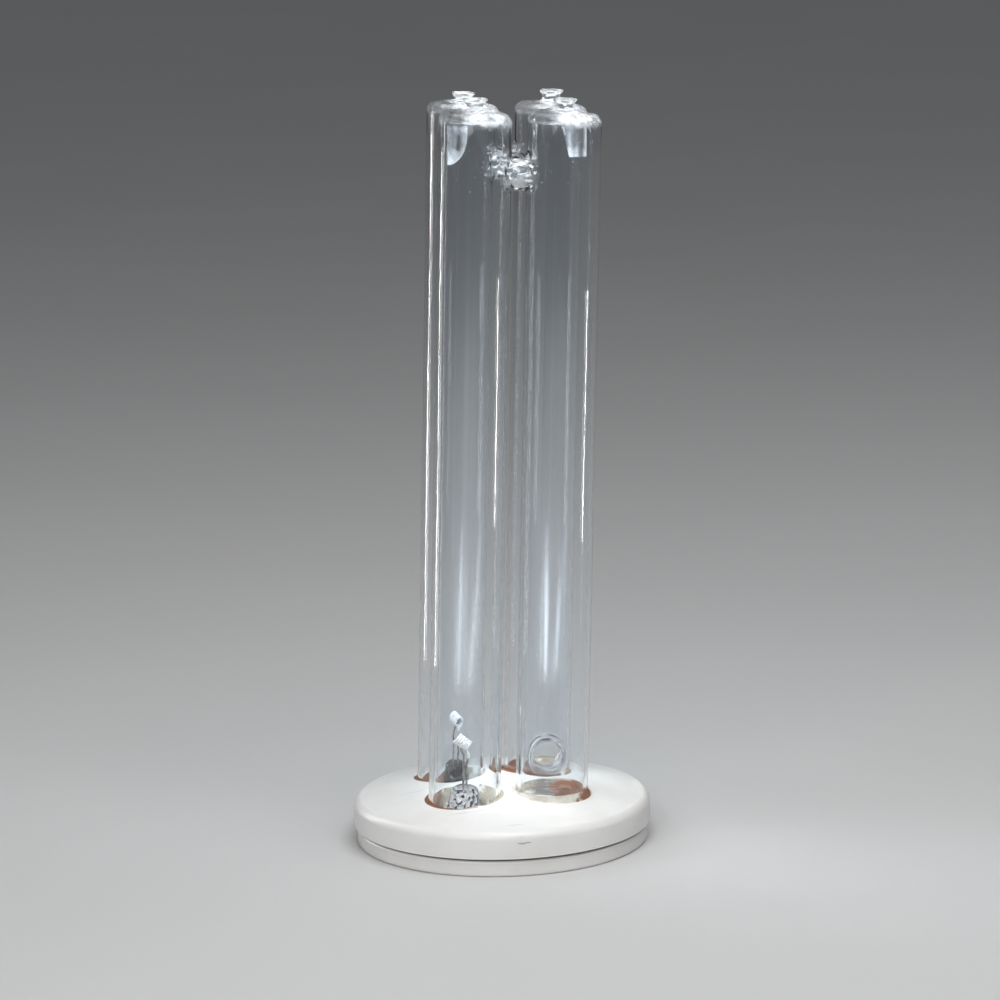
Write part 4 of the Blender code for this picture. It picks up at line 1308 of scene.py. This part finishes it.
FLOOR_HOLE = 37.4 * MM
FLOOR_RADIUS = 8.0
CAMERA_DISTANCE = 1.0899
CAMERA_HEIGHT = 0.3100


def make_floor():
    """A wide, plain, pale ring, open under the base for light, that hides nothing from below."""
    look = Look("pale_floor")
    look.clear_where(look.add("ShaderNodeNewGeometry").outputs["Backfacing"])
    colour = look.mix(look.noise(look.place, 6.0, 2.0), (0.60, 0.60, 0.60), (0.64, 0.64, 0.64))
    profile = np.array([(FLOOR_HOLE, 0.0), (0.3, 0.0), (FLOOR_RADIUS, 0.0)])
    points, quads = grid(turned(profile, 96))
    mesh = bpy.data.meshes.new("floor")
    mesh.from_pydata(points.tolist(), [], quads.tolist())
    mesh.materials.append(look.finish(Base_Color=colour, Roughness=0.9, Specular_IOR_Level=0.0))
    floor = bpy.data.objects.new("floor", mesh)
    bpy.context.scene.collection.objects.link(floor)


def around(azimuth, distance, height):
    """A place seen from the lamp: azimuth in degrees from the camera's side, to the right."""
    angle = math.radians(azimuth - 90.0 + CAMERA_TURN)
    return (distance * math.cos(angle), distance * math.sin(angle), height)


def soft_light(name, place, target, width, height, power, shine_only=False):
    """An area light at a place, turned to face a target, that the camera doesn't see.

    One that is for shine only shows in glass and gloss but doesn't light plain surfaces.
    """
    lamp = bpy.data.lights.new(name, "AREA")
    lamp.shape = "RECTANGLE"
    lamp.size = width
    lamp.size_y = height
    lamp.energy = power
    item = bpy.data.objects.new(name, lamp)
    bpy.context.scene.collection.objects.link(item)
    item.location = place
    item.rotation_euler = (Vector(target) - Vector(place)).to_track_quat("-Z", "Y").to_euler()
    item.visible_camera = False
    item.visible_diffuse = not shine_only


def make_camera():
    """The photograph's camera: from the front, a little to the left and above."""
    yaw, pitch, roll = math.radians(0.066), math.radians(11.347), math.radians(-1.265)
    turn = Matrix.Rotation(math.radians(CAMERA_TURN), 3, "Z")
    ahead = Vector((math.sin(yaw) * math.cos(pitch), math.cos(yaw) * math.cos(pitch), -math.sin(pitch)))
    right = Vector((math.cos(yaw), -math.sin(yaw), 0.0))
    up = right.cross(ahead)
    level_right = math.cos(roll) * right + math.sin(roll) * up
    level_up = math.cos(roll) * up - math.sin(roll) * right
    axes = Matrix((turn @ level_right, turn @ level_up, -(turn @ ahead))).transposed()
    data = bpy.data.cameras.new("camera")
    data.sensor_width = 36.0
    data.lens = 152.8
    camera = bpy.data.objects.new("camera", data)
    bpy.context.scene.collection.objects.link(camera)
    place = turn @ Vector((0.0, -CAMERA_DISTANCE, 0.0)) + Vector((0.0, 0.0, CAMERA_HEIGHT))
    camera.matrix_world = Matrix.Translation(place) @ axes.to_4x4()
    bpy.context.scene.camera = camera


def make_world(level):
    """An even, faintly cool light from all round."""
    world = bpy.data.worlds.new("studio")
    world.use_nodes = True
    background = world.node_tree.nodes["Background"]
    background.inputs["Color"].default_value = (0.95, 0.97, 1.0, 1.0)
    background.inputs["Strength"].default_value = level
    bpy.context.scene.world = world


make_floor()
make_camera()
make_world(0.16)
middle = (0.0, 0.0, 0.09)
soft_light("overhead", around(20.0, 0.25, 0.75), middle, 0.5, 0.5, 4.0)
soft_light("front_fill", around(-18.0, 0.9, 0.50), middle, 0.6, 0.4, 3.0)
soft_light("left_strip", around(-116.0, 0.22, 0.13), middle, 0.005, 0.26, 0.30, True)
soft_light("right_strip", around(84.0, 0.24, 0.07), (0.0, 0.0, 0.07), 0.006, 0.08, 0.11, True)
soft_light("glint", around(12.0, 0.45, 0.80), (0.0, 0.0, 0.15), 0.04, 0.04, 1.3, True)
bpy.context.scene.view_settings.view_transform = "Standard"
